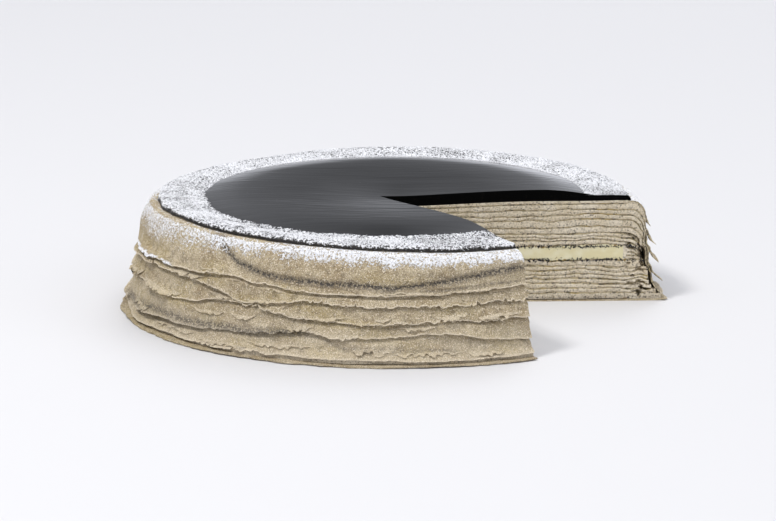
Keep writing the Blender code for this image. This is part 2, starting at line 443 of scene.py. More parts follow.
# A line that runs round the side, as the places where it turns: azimuth in degrees and height
TOP_LIP = (
    (2, 33.5), (25, 32.5), (45, 30.8), (70, 32.6), (95, 30.4), (120, 32.4), (145, 30.6), (165, 31.6),
    (195, 31.8), (212, 31.8), (222, 31.6), (234, 33.4), (243, 32.0), (250, 30.3), (260, 29.6),
    (270, 29.6), (280, 30.7), (299, 31.3),
)
TORN_LIP = (
    (2, 26.0), (22, 28.0), (40, 25.2), (62, 24.6), (80, 27.2), (104, 24.8), (126, 27.0), (150, 25.4),
    (180, 28.4), (206, 29.4), (221, 29.0), (226, 27.2), (236, 22.6), (242, 24.2), (246, 25.0),
    (252, 27.2), (256, 25.6), (272, 25.2), (286, 26.0), (300, 25.4),
)
FOLD_LIP = (
    (2, 17.5), (18, 19.6), (40, 17.4), (64, 20.2), (84, 17.0), (112, 19.8), (140, 17.6), (170, 20.0),
    (195, 19.6), (207, 19.2), (212, 18.3), (218, 19.2), (224, 20.1), (230, 22.5), (238, 22.0),
    (247, 19.6), (262, 17.5), (272, 17.8), (280, 19.6), (284, 19.4), (286, 18.0), (294, 18.8),
    (300, 18.0),
)
WAVY_LIP = (
    (2, 9.0), (20, 7.2), (42, 11.6), (66, 9.0), (90, 12.8), (112, 10.2), (136, 12.0), (160, 8.2),
    (191, 5.4), (210, 7.6), (230, 9.2), (245, 12.0), (250.6, 13.8), (252.6, 14.5), (254.4, 11.2),
    (259.4, 11.0), (264.8, 12.4), (269.5, 11.7), (273.6, 13.1), (279, 14.1), (284.4, 13.1),
    (289.8, 10.3), (300, 8.9),
)
FOOT_LIP = (
    (2, 2.4), (45, 3.2), (100, 2.2), (150, 3.4), (200, 2.2), (240, 3.0), (262, 3.3), (280, 2.3),
    (300, 2.8),
)

# Dark dotted lines: one along the crease, and bands lower down where the griddle darkened the
# batter. Their turns, half height, strength, and the azimuth and half width of the stretch
# where they show
CREASE = (
    (2, 40.0), (24, 37.0), (52, 34.6), (80, 36.8), (104, 41.0), (150, 45.5), (210, 46.5), (224, 45.5),
    (230, 44.0), (231.4, 39.8), (240, 37.0), (249, 34.9), (260, 33.8), (270, 33.5), (280, 35.6),
    (290, 37.7), (299, 38.8),
)
LOW_BAND = (
    (2, 6.0), (60, 5.0), (110, 8.0), (150, 6.0), (190.5, 6.8), (200, 8.9), (210, 10.3), (230, 10.7),
    (240, 11.3), (249, 13.1), (253, 13.8), (258, 7.0), (300, 6.0),
)
LIP_BAND = ((2, 34.0), (262, 31.4), (275, 31.8), (287, 32.8), (299, 33.4))
Toast = namedtuple("Toast", "line half strength azimuth width")
TOASTED = (
    Toast(CREASE, 1.6, 1.0, 263.0, 38.0),
    Toast(LIP_BAND, 0.7, 0.6, 287.0, 12.0),
    Toast(CREASE, 1.3, 0.9, 55.0, 52.0),
    Toast(LOW_BAND, 2.0, 0.8, 217.0, 34.0),
    Toast(LOW_BAND, 0.8, 0.6, 270.0, 13.0),
    Toast(LOW_BAND, 1.6, 0.8, 105.0, 42.0),
)

# A hanging crepe: its lip, how ragged that is, and how far it stands off where it is loose
Skirt = namedtuple("Skirt", "node lip ragged flare")
SKIRTS = (
    Skirt("crepe_18", TOP_LIP, 0.45, 2.2),
    Skirt("crepe_17", TORN_LIP, 1.3, 2.0),
    Skirt("crepe_16", FOLD_LIP, 1.15, 2.8),
    Skirt("crepe_15", WAVY_LIP, 0.85, 2.8),
    Skirt("crepe_14", FOOT_LIP, 0.8, 1.6),
)
DRAPED_TOPS = [TOP[skirt.node] for skirt in SKIRTS] + [TOP["crepe_13"]]

# Folds of the side: depth, length along it, the height over which one slants by its length,
# its own height, seed and crispness
Fold = namedtuple("Fold", "depth length slant height seed crisp")
FOLDS = (
    Fold(0.85, 42.0, math.inf, 16.0, 51, 1.0),
    Fold(0.45, 15.0, -14.0, 6.0, 52, 1.0),
    Fold(0.26, 9.0, 6.0, 2.6, 53, 1.0),
    Fold(0.14, 3.6, -9.0, 1.9, 55, 2.0),
)
# How deep the crease is pressed in
CREASE_DEPTH = 0.5


def along(line, azimuth):
    """Height of a line that runs round the side, rounded off where it turns."""
    turns, heights = zip(*line)
    spread = [np.interp(azimuth + shift, turns, heights, period=360.0) for shift in (-2, 0, 2)]
    return sum(spread) / len(spread)


def stretch(azimuth, middle, width, fade=7.0):
    """1 on a stretch of the side that wide to each side of its middle, 0 away from it."""
    off = np.abs((azimuth - middle + 180.0) % 360.0 - 180.0)
    return smooth((width - off) / fade + 0.5)


def looseness(azimuth, seed):
    """How freely a lip hangs, from 0, pressed on, to 1. The front is the most pressed."""
    arc = arc_at(azimuth)
    free = smooth(patchy(arc / 19.0, seed, seed) + 0.4)
    return free * (1.0 - 0.7 * stretch(azimuth, 262.0, 52.0, 20.0))


def lip_height(order, azimuth):
    """Height of a skirt's lip, with its torn edge and a few splits."""
    skirt = SKIRTS[order]
    arc = arc_at(azimuth)
    torn = 0.3 * patchy(arc / 9.0, 1, order + 1) + 0.5 * patchy(arc / 4.7, 1, order + 11, 6.0)
    torn = torn + 0.4 * patchy(arc / 1.6, 1, order + 21, 2.0)
    split = np.maximum(0.0, patchy(arc / 1.3, 1, order + 31) - 0.45) * 2.4
    worn = 0.35 + 0.65 * smooth(patchy(arc / 27.0, 1, order + 41) + 0.6)
    return along(skirt.lip, azimuth) + skirt.ragged * worn * (torn + split)


def side_envelope(height):
    """Radius of the side where the outermost skirt hangs, spreading out at the foot."""
    foot = np.maximum(0.0, 1.0 - height / FOOT_HEIGHT)
    return SKIRT_RADIUS + SKIRT_SLOPE * (SKIRT_TOP - height) + FOOT_SPREAD * foot * foot


def wall_radius(order, azimuth, height):
    """Outer radius of a skirt at a height on the side. It comes out from under each lip."""
    arc = arc_at(azimuth)
    radius = side_envelope(height)
    for skirt in SKIRTS[:order]:
        lip = along(skirt.lip, azimuth)
        radius = radius - SKIRT_COVER * smooth((height - lip + 2.0) / 1.4)
    groove = height - along(CREASE, azimuth)
    radius = radius - CREASE_DEPTH * np.exp(-((groove / 0.9) ** 2)) * smooth((45.5 - height) / 3.0)
    sway = 0.0
    for fold in FOLDS:
        slanted = arc / fold.length + height / fold.slant
        sway = sway + fold.depth * patchy(slanted, height / fold.height, fold.seed, fold.crisp)
    pinched = np.abs(patchy(arc / 31.0 + height / 12.0, height / 5.0, 54))
    sway = sway - 0.45 * np.maximum(0.0, 1.0 - 6.0 * pinched)
    radius = radius + sway * smooth((46.0 - height) / 10.0)
    if order < len(SKIRTS):
        lip = lip_height(order, azimuth)
        # A loose lip stands off the side, and every lip turns out at its very edge
        loose = SKIRTS[order].flare * looseness(azimuth, order + 61)
        radius = radius + (0.2 + loose) * smooth((lip + 5.5 - height) / 5.5) ** 2
        radius = radius + 0.5 * smooth((lip + 1.3 - height) / 1.3)
    return radius


def drape(order, angle, course, inset):
    """Points of a draped crepe: course runs 0 to 1 flat, to 2 over the shoulder, to 3 its lip."""
    top = DRAPED_TOPS[order]
    azimuth = rim_azimuth(angle)
    centre_height = top - SHOULDER_DROP
    start = side_envelope(centre_height) - SKIRT_PITCH * order
    centre = start - SHOULDER_WIDTH
    flat = np.minimum(course, 1.0) * reach(angle, centre)
    turn = np.clip(course - 1.0, 0.0, 1.0) * math.pi / 2
    fall = np.clip(course - 2.0, 0.0, 1.0)
    lip = lip_height(order, azimuth) if order < len(SKIRTS) else STILL_HEIGHT
    wall_height = centre_height + (lip - centre_height) * fall
    height = np.where(course > 2.0, wall_height, centre_height + SHOULDER_DROP * np.cos(turn))
    at = radius_on(angle, flat)
    level = sunk(at, top) + seam_wave(at, top, azimuth) * smooth((1.0 - course) / 0.08)
    height = np.where(course <= 1.0, level, height)
    if order == 0:
        height = height + LEDGE_RISE * smooth((at - LEDGE_START) / 1.3) * smooth(1.0 - turn / 1.2)
    drift = (wall_radius(order, azimuth, height) - start) * np.sin(turn) ** 2
    radius = centre + SHOULDER_WIDTH * np.sin(turn) + drift - inset * np.sin(turn)
    distance = np.where(course <= 1.0, flat, reach(angle, np.maximum(radius, 20.0)))
    return ray(angle, distance, height - inset * np.cos(turn))


def skirt_shape(order):
    """Section of a hanging crepe, thinner at its lip."""

    def shape(angle, course):
        thin = SKIRT_THICKNESS * (1.0 - 0.45 * smooth((course - 2.9) / 0.1))
        return drape(order, angle, course, 0.0), drape(order, angle, course, thin)

    return shape


def filling_shape(order):
    """Section of the cream that follows a skirt over the shoulder and thins out below it."""

    def shape(angle, course):
        under_skirt = drape(order, angle, course, CREPE - 0.02)
        return under_skirt, drape(order + 1, angle, course, -0.02)

    return shape


def skirt_course(order, fine):
    """Steps along a skirt's section, close together over the shoulder and towards the lip."""
    hidden = 12 if order < 2 else 4
    flat = np.linspace(0.0, 1.0, 130 if fine else hidden)[:-1]
    wall = 3.0 - (1.0 - np.linspace(0.0, 1.0, 22)) ** 1.4
    return np.concatenate((flat, np.linspace(1.0, 2.0, 9)[:-1], wall))


def filling_course(fine):
    """Steps along the section of the cream under a skirt."""
    flat = np.linspace(0.0, 1.0, 140 if fine else 9)[:-1]
    return np.concatenate((flat, np.linspace(1.0, 2.0, 15 if fine else 6)[:-1], (2.0, 2.08, 2.16)))


# The cake's rim begins at this radius and height, and is in full at these distances from them
RIM_START = 86.0
RIM_WIDTH = 16.0
RIM_FOOT = 41.0
RIM_DEPTH = 5.0
# How much higher than at the cut the rim stands as it goes round: azimuth and height
RIM_RISE = (
    (2, 0.2), (20, 1.2), (78, 2.2), (98, 2.1), (114, 1.3), (128, 0.9), (150, 1.3), (180, 2.4),
    (197, 3.1), (212, 3.6), (225, 3.2), (240, 2.9), (252, 2.5), (261, 1.9), (273, 1.1), (285, 0.3),
    (300, -0.4),
)


def risen(points):
    """The same points with the rim at its own height, which varies as it goes round."""
    radius, azimuth = polar(points)
    share = smooth((radius - RIM_START) / RIM_WIDTH)
    share = share * smooth((points[:, 2] - RIM_FOOT) / RIM_DEPTH)
    raised = points.copy()
    raised[:, 2] += along(RIM_RISE, azimuth) * share
    return raised


def polar(points):
    """Radius, and azimuth in degrees from 0 to 360, of points."""
    radius = np.hypot(points[:, 0], points[:, 1])
    return radius, np.degrees(np.arctan2(points[:, 1], points[:, 0])) % 360.0


# The clean line that runs round the top crepe's ledge
CLEAN_LEDGE = 108.0
# Where the sugar on the side has thinned to half: azimuth and height
SUGAR_EDGE = (
    (2, 41.0), (40, 40.4), (85, 41.2), (130, 40.4), (180, 39.8), (197, 39.4), (214, 39.4),
    (221, 40.8), (229, 42.0), (243, 43.0), (262, 41.8), (285, 41.4), (300, 40.6),
)


def sugar_on_side(points, outer):
    """How thickly the icing sugar lies: full on the top, fading over the shoulder."""
    radius, azimuth = polar(points)
    height, arc = points[:, 2], arc_at(azimuth)
    left = stretch(azimuth, 200.0, 24.0, 16.0)
    edge = along(SUGAR_EDGE, azimuth)
    edge = edge + (0.7 + 0.7 * left) * patchy(arc / 6.0, height / 4.0, 81)
    edge = edge + 0.6 * patchy(arc / 1.9, height / 3.0, 82)
    cover = smooth((height - edge) / (5.0 + 5.0 * left) + 0.5)
    # Sugar that caught on the loose lip at the left, and some that fell on the side below it
    powdered = stretch(azimuth, 197.0, 11.0, 8.0) + 0.8 * stretch(azimuth, 211.5, 2.5, 3.0)
    lip = lip_height(0, azimuth)
    on_lip = powdered * smooth((lip + 1.7 - height) / 1.2) * smooth((height - lip + 1.0) / 0.6)
    fallen = stretch(azimuth, 216.0, 3.5, 4.0) * np.exp(-((height - 24.0) ** 2))
    # The ledge's clean line, plainest at the left
    ledge = radius - CLEAN_LEDGE + 0.3 * patchy(arc / 9.0, 1, 83)
    clean = 0.2 + 0.8 * stretch(azimuth, 212.0, 30.0, 24.0) + 0.4 * patchy(arc / 12.0, 1, 80)
    clean = np.clip(clean, 0.0, 1.0) * smooth(height - 43.0)
    cover = (1.03 - 0.18 * left) * cover * (1.0 - clean * np.exp(-((ledge / 0.8) ** 2)))
    cover = cover * smooth((radius - LEDGE_START - 0.6) / 0.6)
    return outer * np.maximum(cover, np.maximum(1.2 * on_lip, 0.6 * fallen))


def toast_on_side(points, _outer):
    """Dark dotted lines: along the crease, and bands lower down where the griddle darkened the crepes.
    """
    _radius, azimuth = polar(points)
    found = np.zeros(len(points))
    for toast in TOASTED:
        off = (points[:, 2] - along(toast.line, azimuth)) / toast.half
        strength = toast.strength * stretch(azimuth, toast.azimuth, toast.width)
        found = np.maximum(found, strength * np.exp(-(off**2)))
    return found


def golden_on_side(points, _outer):
    """Where the batter browned to a warmer yellow, most of all low on the left."""
    _radius, azimuth = polar(points)
    height, arc = points[:, 2], arc_at(azimuth)
    spot = stretch(azimuth, 213.0, 7.0, 8.0) * np.exp(-(((height - 18.0) / 3.0) ** 2))
    return np.clip(spot + 0.55 * smooth(patchy(arc / 19.0, height / 6.0, 86) * 1.6), 0.0, 1.0)


def painted_light_on_lip(order):
    """Painted light: a highlight along the torn lip of a skirt, and bounce light towards its foot."""

    def values(points, _outer):
        _radius, azimuth = polar(points)
        # Painted highlight along the lip's edge
        edge = smooth((lip_height(order, azimuth) + 0.6 - points[:, 2]) / 0.4)
        # Painted bounce light, stronger towards the foot
        return np.maximum(edge, 0.3 * smooth((20.0 - points[:, 2]) / 9.0))

    return values


# The lowest crepe: the share of its section that lies under the stack, and its radius there
BASE_FLAT = 0.8
BASE_RADIUS = 114.0


def base_shape(top):
    """Section of the lowest crepe: flat under the stack, then spread out, torn and lifting."""

    def shape(angle, shares):
        arc = arc_at(rim_azimuth(angle))
        torn = 0.8 * patchy(arc / 8.0, 0.5, 91) + 0.6 * patchy(arc / 2.4, 0.5, 92)
        end = rim_of("crepe_01") - 0.6 + torn
        spread = np.clip((shares - BASE_FLAT) / (1.0 - BASE_FLAT), 0.0, 1.0)
        radius = BASE_RADIUS + (end - BASE_RADIUS) * spread
        flat = shares / BASE_FLAT * reach(angle, BASE_RADIUS)
        distance = np.where(shares < BASE_FLAT, flat, reach(angle, radius))
        rise = (0.5 + 0.5 * patchy(arc / 17.0, 0.5, 93)) * spread**2
        mound = 1.9 * smooth((radius_on(angle, distance) - 109.0) / 6.0) * (1.0 - spread) ** 1.5
        thin = top * (1.0 - 0.35 * spread)
        return ray(angle, distance, thin + rise + mound), ray(angle, distance, rise)

    return shape


# ---------------------------------------------------------------- torn flaps

# A torn piece of crepe on the side: middle azimuth and width in degrees, height of its
# root, how far it hangs, how far it lifts, and how much it slants per degree
Flap = namedtuple("Flap", "azimuth width root hang lift slant")
SHOWN_FLAPS = (
    Flap(219.0, 13.0, 31.4, 2.4, 0.9, -0.05),
    Flap(236.0, 26.0, 33.6, 2.6, 0.5, -0.10),
    Flap(284.0, 34.0, 31.8, 2.4, 0.8, -0.01),
    Flap(209.0, 18.0, 21.8, 3.2, 1.3, 0.02),
    Flap(230.5, 9.0, 25.0, 2.8, 1.0, -0.03),
    Flap(243.0, 12.0, 25.6, 2.6, 1.4, 0.14),
    Flap(262.5, 5.0, 19.4, 2.0, 1.2, 0.00),
    Flap(267.5, 4.0, 21.0, 1.4, 0.9, 0.04),
    Flap(282.0, 7.0, 21.6, 2.2, 1.3, 0.02),
    Flap(292.5, 10.0, 20.8, 2.4, 1.3, 0.03),
    Flap(256.0, 9.0, 20.4, 1.8, 1.0, 0.05),
    Flap(274.0, 10.0, 16.8, 1.9, 0.9, 0.06),
    Flap(226.0, 9.0, 16.8, 2.0, 0.9, -0.06),
    Flap(236.0, 7.0, 17.8, 1.7, 0.8, 0.05),
    Flap(249.5, 7.0, 16.2, 2.6, 1.2, 0.10),
    Flap(265.5, 9.0, 7.4, 2.6, 1.2, 0.12),
    Flap(289.0, 8.0, 5.4, 2.8, 1.3, -0.08),
    Flap(277.0, 16.0, 6.4, 2.0, 0.8, 0.02),
    Flap(246.0, 20.0, 8.0, 1.8, 0.8, 0.02),
    Flap(231.0, 14.0, 5.0, 1.8, 0.8, -0.02),
    Flap(212.0, 22.0, 6.4, 1.9, 0.8, 0.00),
    Flap(191.0, 13.0, 22.4, 3.8, 2.6, 0.03),
    Flap(197.0, 16.0, 10.2, 2.6, 1.2, -0.05),
)
BACK_FLAPS = 36


def all_flaps():
    """The flaps listed, and others of the same kinds over the rest of the side."""
    random = np.random.default_rng(7)
    flaps = list(SHOWN_FLAPS)
    for order in range(BACK_FLAPS):
        azimuth = 12.0 + (172.0 / BACK_FLAPS) * (order + random.uniform(0.0, 0.9))
        root = 5.0 + 28.0 * ((order * 0.618) % 1.0) + random.uniform(-1.0, 1.0)
        hang, lift = random.uniform(1.6, 3.2), random.uniform(0.5, 1.5)
        flap = Flap(azimuth, random.uniform(5, 18), root, hang, lift, random.uniform(-0.08, 0.08))
        flaps.append(flap)
    return flaps


def shown_radius(azimuth, height):
    """Radius of whichever skirt is outermost at that place."""
    best = wall_radius(len(SKIRTS) - 1, azimuth, height)
    for order in reversed(range(len(SKIRTS) - 1)):
        best = np.where(
            height > lip_height(order, azimuth), wall_radius(order, azimuth, height), best
        )
    return best


def build_flaps(name):
    """All torn flaps as thin sheets rooted in the side."""
    loft = Loft()
    down = np.linspace(0.0, 1.0, 8)[None, :]
    for seed, flap in enumerate(all_flaps()):
        count = int(math.radians(flap.width) * SIDE_RADIUS / 0.55)
        sideways = np.linspace(-1.0, 1.0, count)[:, None]
        azimuth = flap.azimuth + sideways * flap.width / 2
        arc = arc_at(azimuth)
        taper = np.clip(1.0 - sideways**2, 0.0, 1.0) ** 0.6
        torn = 0.9 + 0.35 * patchy(arc / 4.5, 1, seed + 101, 6.0)
        torn = torn + 0.35 * patchy(arc / 1.5, 1, seed + 201, 2.0)
        root = flap.root + flap.slant * (azimuth - flap.azimuth)
        root = root + 0.6 * patchy(arc / 8.0, 1, seed + 301)
        height = root - (flap.hang * taper * torn + 0.15) * down
        lift = flap.lift * taper * (0.75 + 0.45 * patchy(arc / 5.0, 1, seed + 401))
        radius = shown_radius(azimuth, height) - 0.25 + (0.4 + 0.9 * lift) * down**1.3
        thick = 0.4 - 0.14 * down
        cos, sin = np.cos(np.radians(azimuth)), np.sin(np.radians(azimuth))
        grids = []
        for at in (radius, radius - thick):
            grids.append(np.stack((at * cos, at * sin, height + 0 * at), axis=-1))
        slab(loft, grids[0].transpose(1, 0, 2), grids[1].transpose(1, 0, 2))
    values = {"sugar": sugar_on_side, "toast": toast_on_flaps, "golden": golden_on_side}
    # pale holds a painted highlight over the flaps
    values["pale"] = painted_highlight_on_flaps
    return loft.build(name, values)


def painted_highlight_on_flaps(_points, outer):
    """Torn flaps are painted a little paler than the skirts behind them: a painted highlight for their
    lit edges.
    """
    return 0.45 * outer


def toast_on_flaps(points, outer):
    """A torn flap shows the side of the batter that darkened less."""
    return 0.35 * toast_on_side(points, outer)


# ---------------------------------------------------------------- the dark top


def ganache_shape(top, bottom, radius):
    """Section of the ganache, with a rounded, slightly uneven rim."""
    rim = 2.2

    def shape(angle, shares):
        arc = math.radians(rim_azimuth(angle)) * radius
        uneven = 0.35 * patchy(arc / 7.0, 1, 95) + 0.3 * patchy(arc / 2.6, 1, 97)
        end = reach(angle, radius) - 0.3 + uneven
        distance = shares * end
        at = radius_on(angle, distance)
        inside = np.clip((distance - (end - rim)) / rim, 0.0, 1.0)
        rounded = (1.0 - np.sqrt(np.clip(1.0 - inside**2, 0.0, 1.0))) * (top - bottom - 0.5)
        slow = 0.16 * patchy(arc / 19.0, at / 14.0, 96) * smooth((at - 84.0) / 8.0)
        upper = sunk(at, top) - rounded + slow - 0.3 * smooth((at - 92.0) / 12.0)
        return ray(angle, distance, upper), ray(angle, distance, sunk(at, bottom))

    return shape


def glaze_shape(top, bottom, radius):
    """Section of the glaze: a level pool that falls off ever faster towards its border."""
    depth = top - bottom - 0.12
    start, power = 68.0, 1.6

    def shape(angle, shares):
        distance = shares * reach(angle, radius)
        at = radius_on(angle, distance)
        outwards = np.maximum(0.0, (at - start) / (radius - 1.0 - start))
        upper = sunk(at, top) - np.minimum(depth, depth * outwards**power)
        return ray(angle, distance, upper), ray(angle, distance, sunk(at, bottom))

    return shape


# Radius at which the sugar starts, and how high above its foot the ganache's rim stays bare
SUGAR_START = 83.9
BARE_RIM = 0.35


def sugar_on_top(points, outer):
    """Sugar on the dark top: from the glaze's border out to the ganache's rounded rim."""
    radius, azimuth = polar(points)
    arc = arc_at(azimuth)
    start = SUGAR_START + 0.5 * patchy(arc / 11.0, 1, 87) + 0.4 * patchy(arc / 2.6, 1, 88)
    inside = smooth((radius - start) / 1.6)
    rim = TOP[CREAMS[-1]] + BARE_RIM + 0.15 * stretch(azimuth, 205.0, 22.0, 16.0)
    rim = rim + 0.3 * patchy(arc / 7.0, 1, 84) + 0.6 * patchy(arc / 1.9, 1, 89)
    outside = np.where(radius < 100.0, 1.0, smooth((points[:, 2] - rim) / 0.8))
    patch = 0.91 + 0.06 * stretch(azimuth, 90.0, 60.0, 30.0)
    patch = patch + 0.13 * patchy(arc / 9.0, radius / 6.0, 85)
    return outer * inside * outside * patch


# ---------------------------------------------------------------- node trees


def add(tree, kind, settings=None, inputs=None):
    """Adds a node, sets it up, and fills or links its inputs by name or number."""
    node = tree.nodes.new(kind)
    for key, value in (settings or {}).items():
        setattr(node, key, value)
    for key, value in (inputs or {}).items():
        socket = node.inputs[key]
        if isinstance(value, bpy.types.NodeSocket):
            tree.links.new(value, socket)
        else:
            socket.default_value = value
    return node


def new_tree(name, inputs):
    """An empty geometry tree with named inputs, as (kind, name, default)."""
    tree = bpy.data.node_groups.new(name, "GeometryNodeTree")
    tree.interface.new_socket("Geometry", in_out="OUTPUT", socket_type="NodeSocketGeometry")
    tree.interface.new_socket("Geometry", in_out="INPUT", socket_type="NodeSocketGeometry")
    for kind, label, default in inputs:
        socket = tree.interface.new_socket(label, in_out="INPUT", socket_type=kind)
        if default is not None:
            socket.default_value = default
    return tree


def end_tree(tree, geometry, material):
    """Ends a geometry tree: instances are made real and the material is set."""
    whole = add(tree, "GeometryNodeRealizeInstances", None, {0: geometry}).outputs[0]
    dressed = add(tree, "GeometryNodeSetMaterial", None, {"Geometry": whole, "Material": material})
    add(tree, "NodeGroupOutput", None, {0: dressed.outputs[0]})
    return tree


@functools.lru_cache(maxsize=None)
def relief_tree():
    """Settles the layers, roughens the cut faces' crumb and wrinkles the skin."""
    tree = new_tree(
        "Cake relief",
        (
            ("NodeSocketFloat", "Settling", 0.4 * MM),
            ("NodeSocketFloat", "Settling size", 26.0 * MM),
            ("NodeSocketFloat", "Crumb", 0.3 * MM),
            ("NodeSocketFloat", "Crumb size", 1.1 * MM),
            ("NodeSocketFloat", "Wrinkle", 0.0),
            ("NodeSocketFloat", "Wrinkle size", 4.0 * MM),
            ("NodeSocketMaterial", "Material", None),
        ),
    )
    given = add(tree, "NodeGroupInput").outputs
    place = add(tree, "GeometryNodeInputPosition").outputs[0]
    offsets = []
    for amount, detail in (("Settling", 2.0), ("Crumb", 3.0), ("Wrinkle", 4.0)):
        size = {0: 1.0, 1: given[f"{amount} size"]}
        scale = add(tree, "ShaderNodeMath", {"operation": "DIVIDE"}, size).outputs[0]
        waves = {"Vector": place, "Scale": scale, "Detail": detail, "Roughness": 0.6}
        noise = add(tree, "ShaderNodeTexNoise", None, waves).outputs[0]
        level = add(tree, "ShaderNodeMath", {"operation": "SUBTRACT"}, {0: noise, 1: 0.5})
        values = {0: level.outputs[0], 1: given[amount]}
        offsets.append(add(tree, "ShaderNodeMath", {"operation": "MULTIPLY"}, values).outputs[0])

    # The foot stays on the table and the glaze stays level: only what is between them settles.
    height = add(tree, "ShaderNodeSeparateXYZ", None, {0: place}).outputs["Z"]
    foot = {"Value": height, "From Min": 0.5 * MM, "From Max": 4.0 * MM, "To Max": 2.0}
    grounded = add(tree, "ShaderNodeMapRange", None, foot).outputs["Result"]
    rim = {"Value": height, "From Min": 39.0 * MM, "From Max": 46.0 * MM, "To Min": 1.0, "To Max": 0.0}
    levelled = add(tree, "ShaderNodeMapRange", None, rim).outputs["Result"]
    sinking = offsets[0]
    for share in (grounded, levelled):
        values = {0: sinking, 1: share}
        sinking = add(tree, "ShaderNodeMath", {"operation": "MULTIPLY"}, values).outputs[0]
    total = add(tree, "ShaderNodeCombineXYZ", None, {"Z": sinking}).outputs[0]

    vector = {"data_type": "FLOAT_VECTOR"}
    push = add(tree, "GeometryNodeInputNamedAttribute", vector, {"Name": "push"}).outputs[0]
    normal = add(tree, "GeometryNodeInputNormal").outputs[0]
    for direction, offset in ((push, offsets[1]), (normal, offsets[2])):
        values = {0: direction, "Scale": offset}
        scaled = add(tree, "ShaderNodeVectorMath", {"operation": "SCALE"}, values).outputs[0]
        values = {0: total, 1: scaled}
        total = add(tree, "ShaderNodeVectorMath", {"operation": "ADD"}, values).outputs[0]
    values = {"Geometry": given["Geometry"], "Offset": total}
    moved = add(tree, "GeometryNodeSetPosition", None, values).outputs[0]
    return end_tree(tree, moved, given["Material"])


@functools.lru_cache(maxsize=None)
def scatter_tree():
    """Strews eight-sided grains over a surface, as thickly and as large as its share says."""
    tree = new_tree(
        "Cake grains",
        (
            ("NodeSocketFloat", "Density", 1.0 / MM**2),
            ("NodeSocketFloat", "Smallest", 0.3 * MM),
            ("NodeSocketFloat", "Largest", 0.8 * MM),
            ("NodeSocketFloat", "Flatness", 0.7),
            ("NodeSocketInt", "Seed", 1),
            ("NodeSocketMaterial", "Material", None),
        ),
    )
    given = add(tree, "NodeGroupInput").outputs
    number = {"data_type": "FLOAT"}
    share = add(tree, "GeometryNodeInputNamedAttribute", number, {"Name": "share"}).outputs[0]
    values = {0: share, 1: given["Density"]}
    density = add(tree, "ShaderNodeMath", {"operation": "MULTIPLY"}, values).outputs[0]
    values = {"Mesh": given["Geometry"], "Density": density, "Seed": given["Seed"]}
    points = add(tree, "GeometryNodeDistributePointsOnFaces", None, values)
    eight_sided = {"Segments": 4, "Rings": 2, "Radius": 0.5}
    grain = add(tree, "GeometryNodeMeshUVSphere", None, eight_sided)
    any_way = {"Min": (0.0, 0.0, 0.0), "Max": (math.tau,) * 3, "Seed": given["Seed"]}
    turn = add(tree, "FunctionNodeRandomValue", {"data_type": "FLOAT_VECTOR"}, any_way)
    sizes = {2: given["Smallest"], 3: given["Largest"], "Seed": given["Seed"]}
    size = add(tree, "FunctionNodeRandomValue", number, sizes).outputs[1]
    sparse = {"Value": share, "To Min": 0.4, "To Max": 1.0}
    smaller = add(tree, "ShaderNodeMapRange", None, sparse).outputs["Result"]
    values = {0: size, 1: smaller}
    width = add(tree, "ShaderNodeMath", {"operation": "MULTIPLY"}, values).outputs[0]
    values = {0: width, 1: given["Flatness"]}
    flat = add(tree, "ShaderNodeMath", {"operation": "MULTIPLY"}, values).outputs[0]
    scale = add(tree, "ShaderNodeCombineXYZ", None, {"X": width, "Y": width, "Z": flat})
    placed = {
        "Points": points.outputs["Points"],
        "Instance": grain.outputs["Mesh"],
        "Rotation": turn.outputs[0],
        "Scale": scale.outputs[0],
    }
    strewn = add(tree, "GeometryNodeInstanceOnPoints", None, placed).outputs[0]
    return end_tree(tree, strewn, given["Material"])


def run_tree(piece, tree, values):
    """Runs a geometry tree on a piece and keeps the result as its plain mesh."""
    modifier = piece.modifiers.new("nodes", "NODES")
    modifier.node_group = tree
    for item in tree.interface.items_tree:
        if item.item_type == "SOCKET" and item.in_out == "INPUT" and item.name in values:
            modifier[item.identifier] = values[item.name]
    depsgraph = bpy.context.evaluated_depsgraph_get()
    result = bpy.data.meshes.new_from_object(piece.evaluated_get(depsgraph))
    result.name = piece.name
    piece.modifiers.remove(modifier)
    piece.data = result
    if not result.polygons:
        raise RuntimeError(f"{piece.name} came out empty")
    return piece


# ---------------------------------------------------------------- materials


def linear(code):
    """An sRGB hex colour as linear red, green, blue and alpha."""
    channels = [int(code[at : at + 2], 16) / 255 for at in (1, 3, 5)]
    straight = [c / 12.92 if c <= 0.04045 else ((c + 0.055) / 1.055) ** 2.4 for c in channels]
    return (*straight, 1.0)


def per_mm(size):
    """Texture scale for a pattern that many millimetres across."""
    return 1.0 / (size * MM)


def new_material(name, roughness, ior=1.45):
    """An empty Principled material with its object coordinates."""
    material = bpy.data.materials.new(name)
    material.use_nodes = True
    tree = material.node_tree
    shader = tree.nodes["Principled BSDF"]
    shader.inputs["Roughness"].default_value = roughness
    shader.inputs["IOR"].default_value = ior
    coords = add(tree, "ShaderNodeTexCoord").outputs["Object"]
    return material, tree, shader, coords


def specks(tree, coords, size, least, most, seed):
    """Scattered specks of about that size in millimetres: 1 in a speck and 0 round it.

    Noise under least is no speck and noise over most is a full one.
    """
    shift = {"Vector": coords, "Location": (seed * 0.37, seed, 0.0)}
    moved = add(tree, "ShaderNodeMapping", None, shift).outputs[0]
    waves = {"Vector": moved, "Scale": per_mm(size), "Detail": 1.5, "Roughness": 0.6}
    noise = add(tree, "ShaderNodeTexNoise", None, waves).outputs[0]
    limits = {"Value": noise, "From Min": least, "From Max": most}
    found = add(tree, "ShaderNodeMapRange", {"interpolation_type": "SMOOTHSTEP"}, limits)
    return found.outputs["Result"]


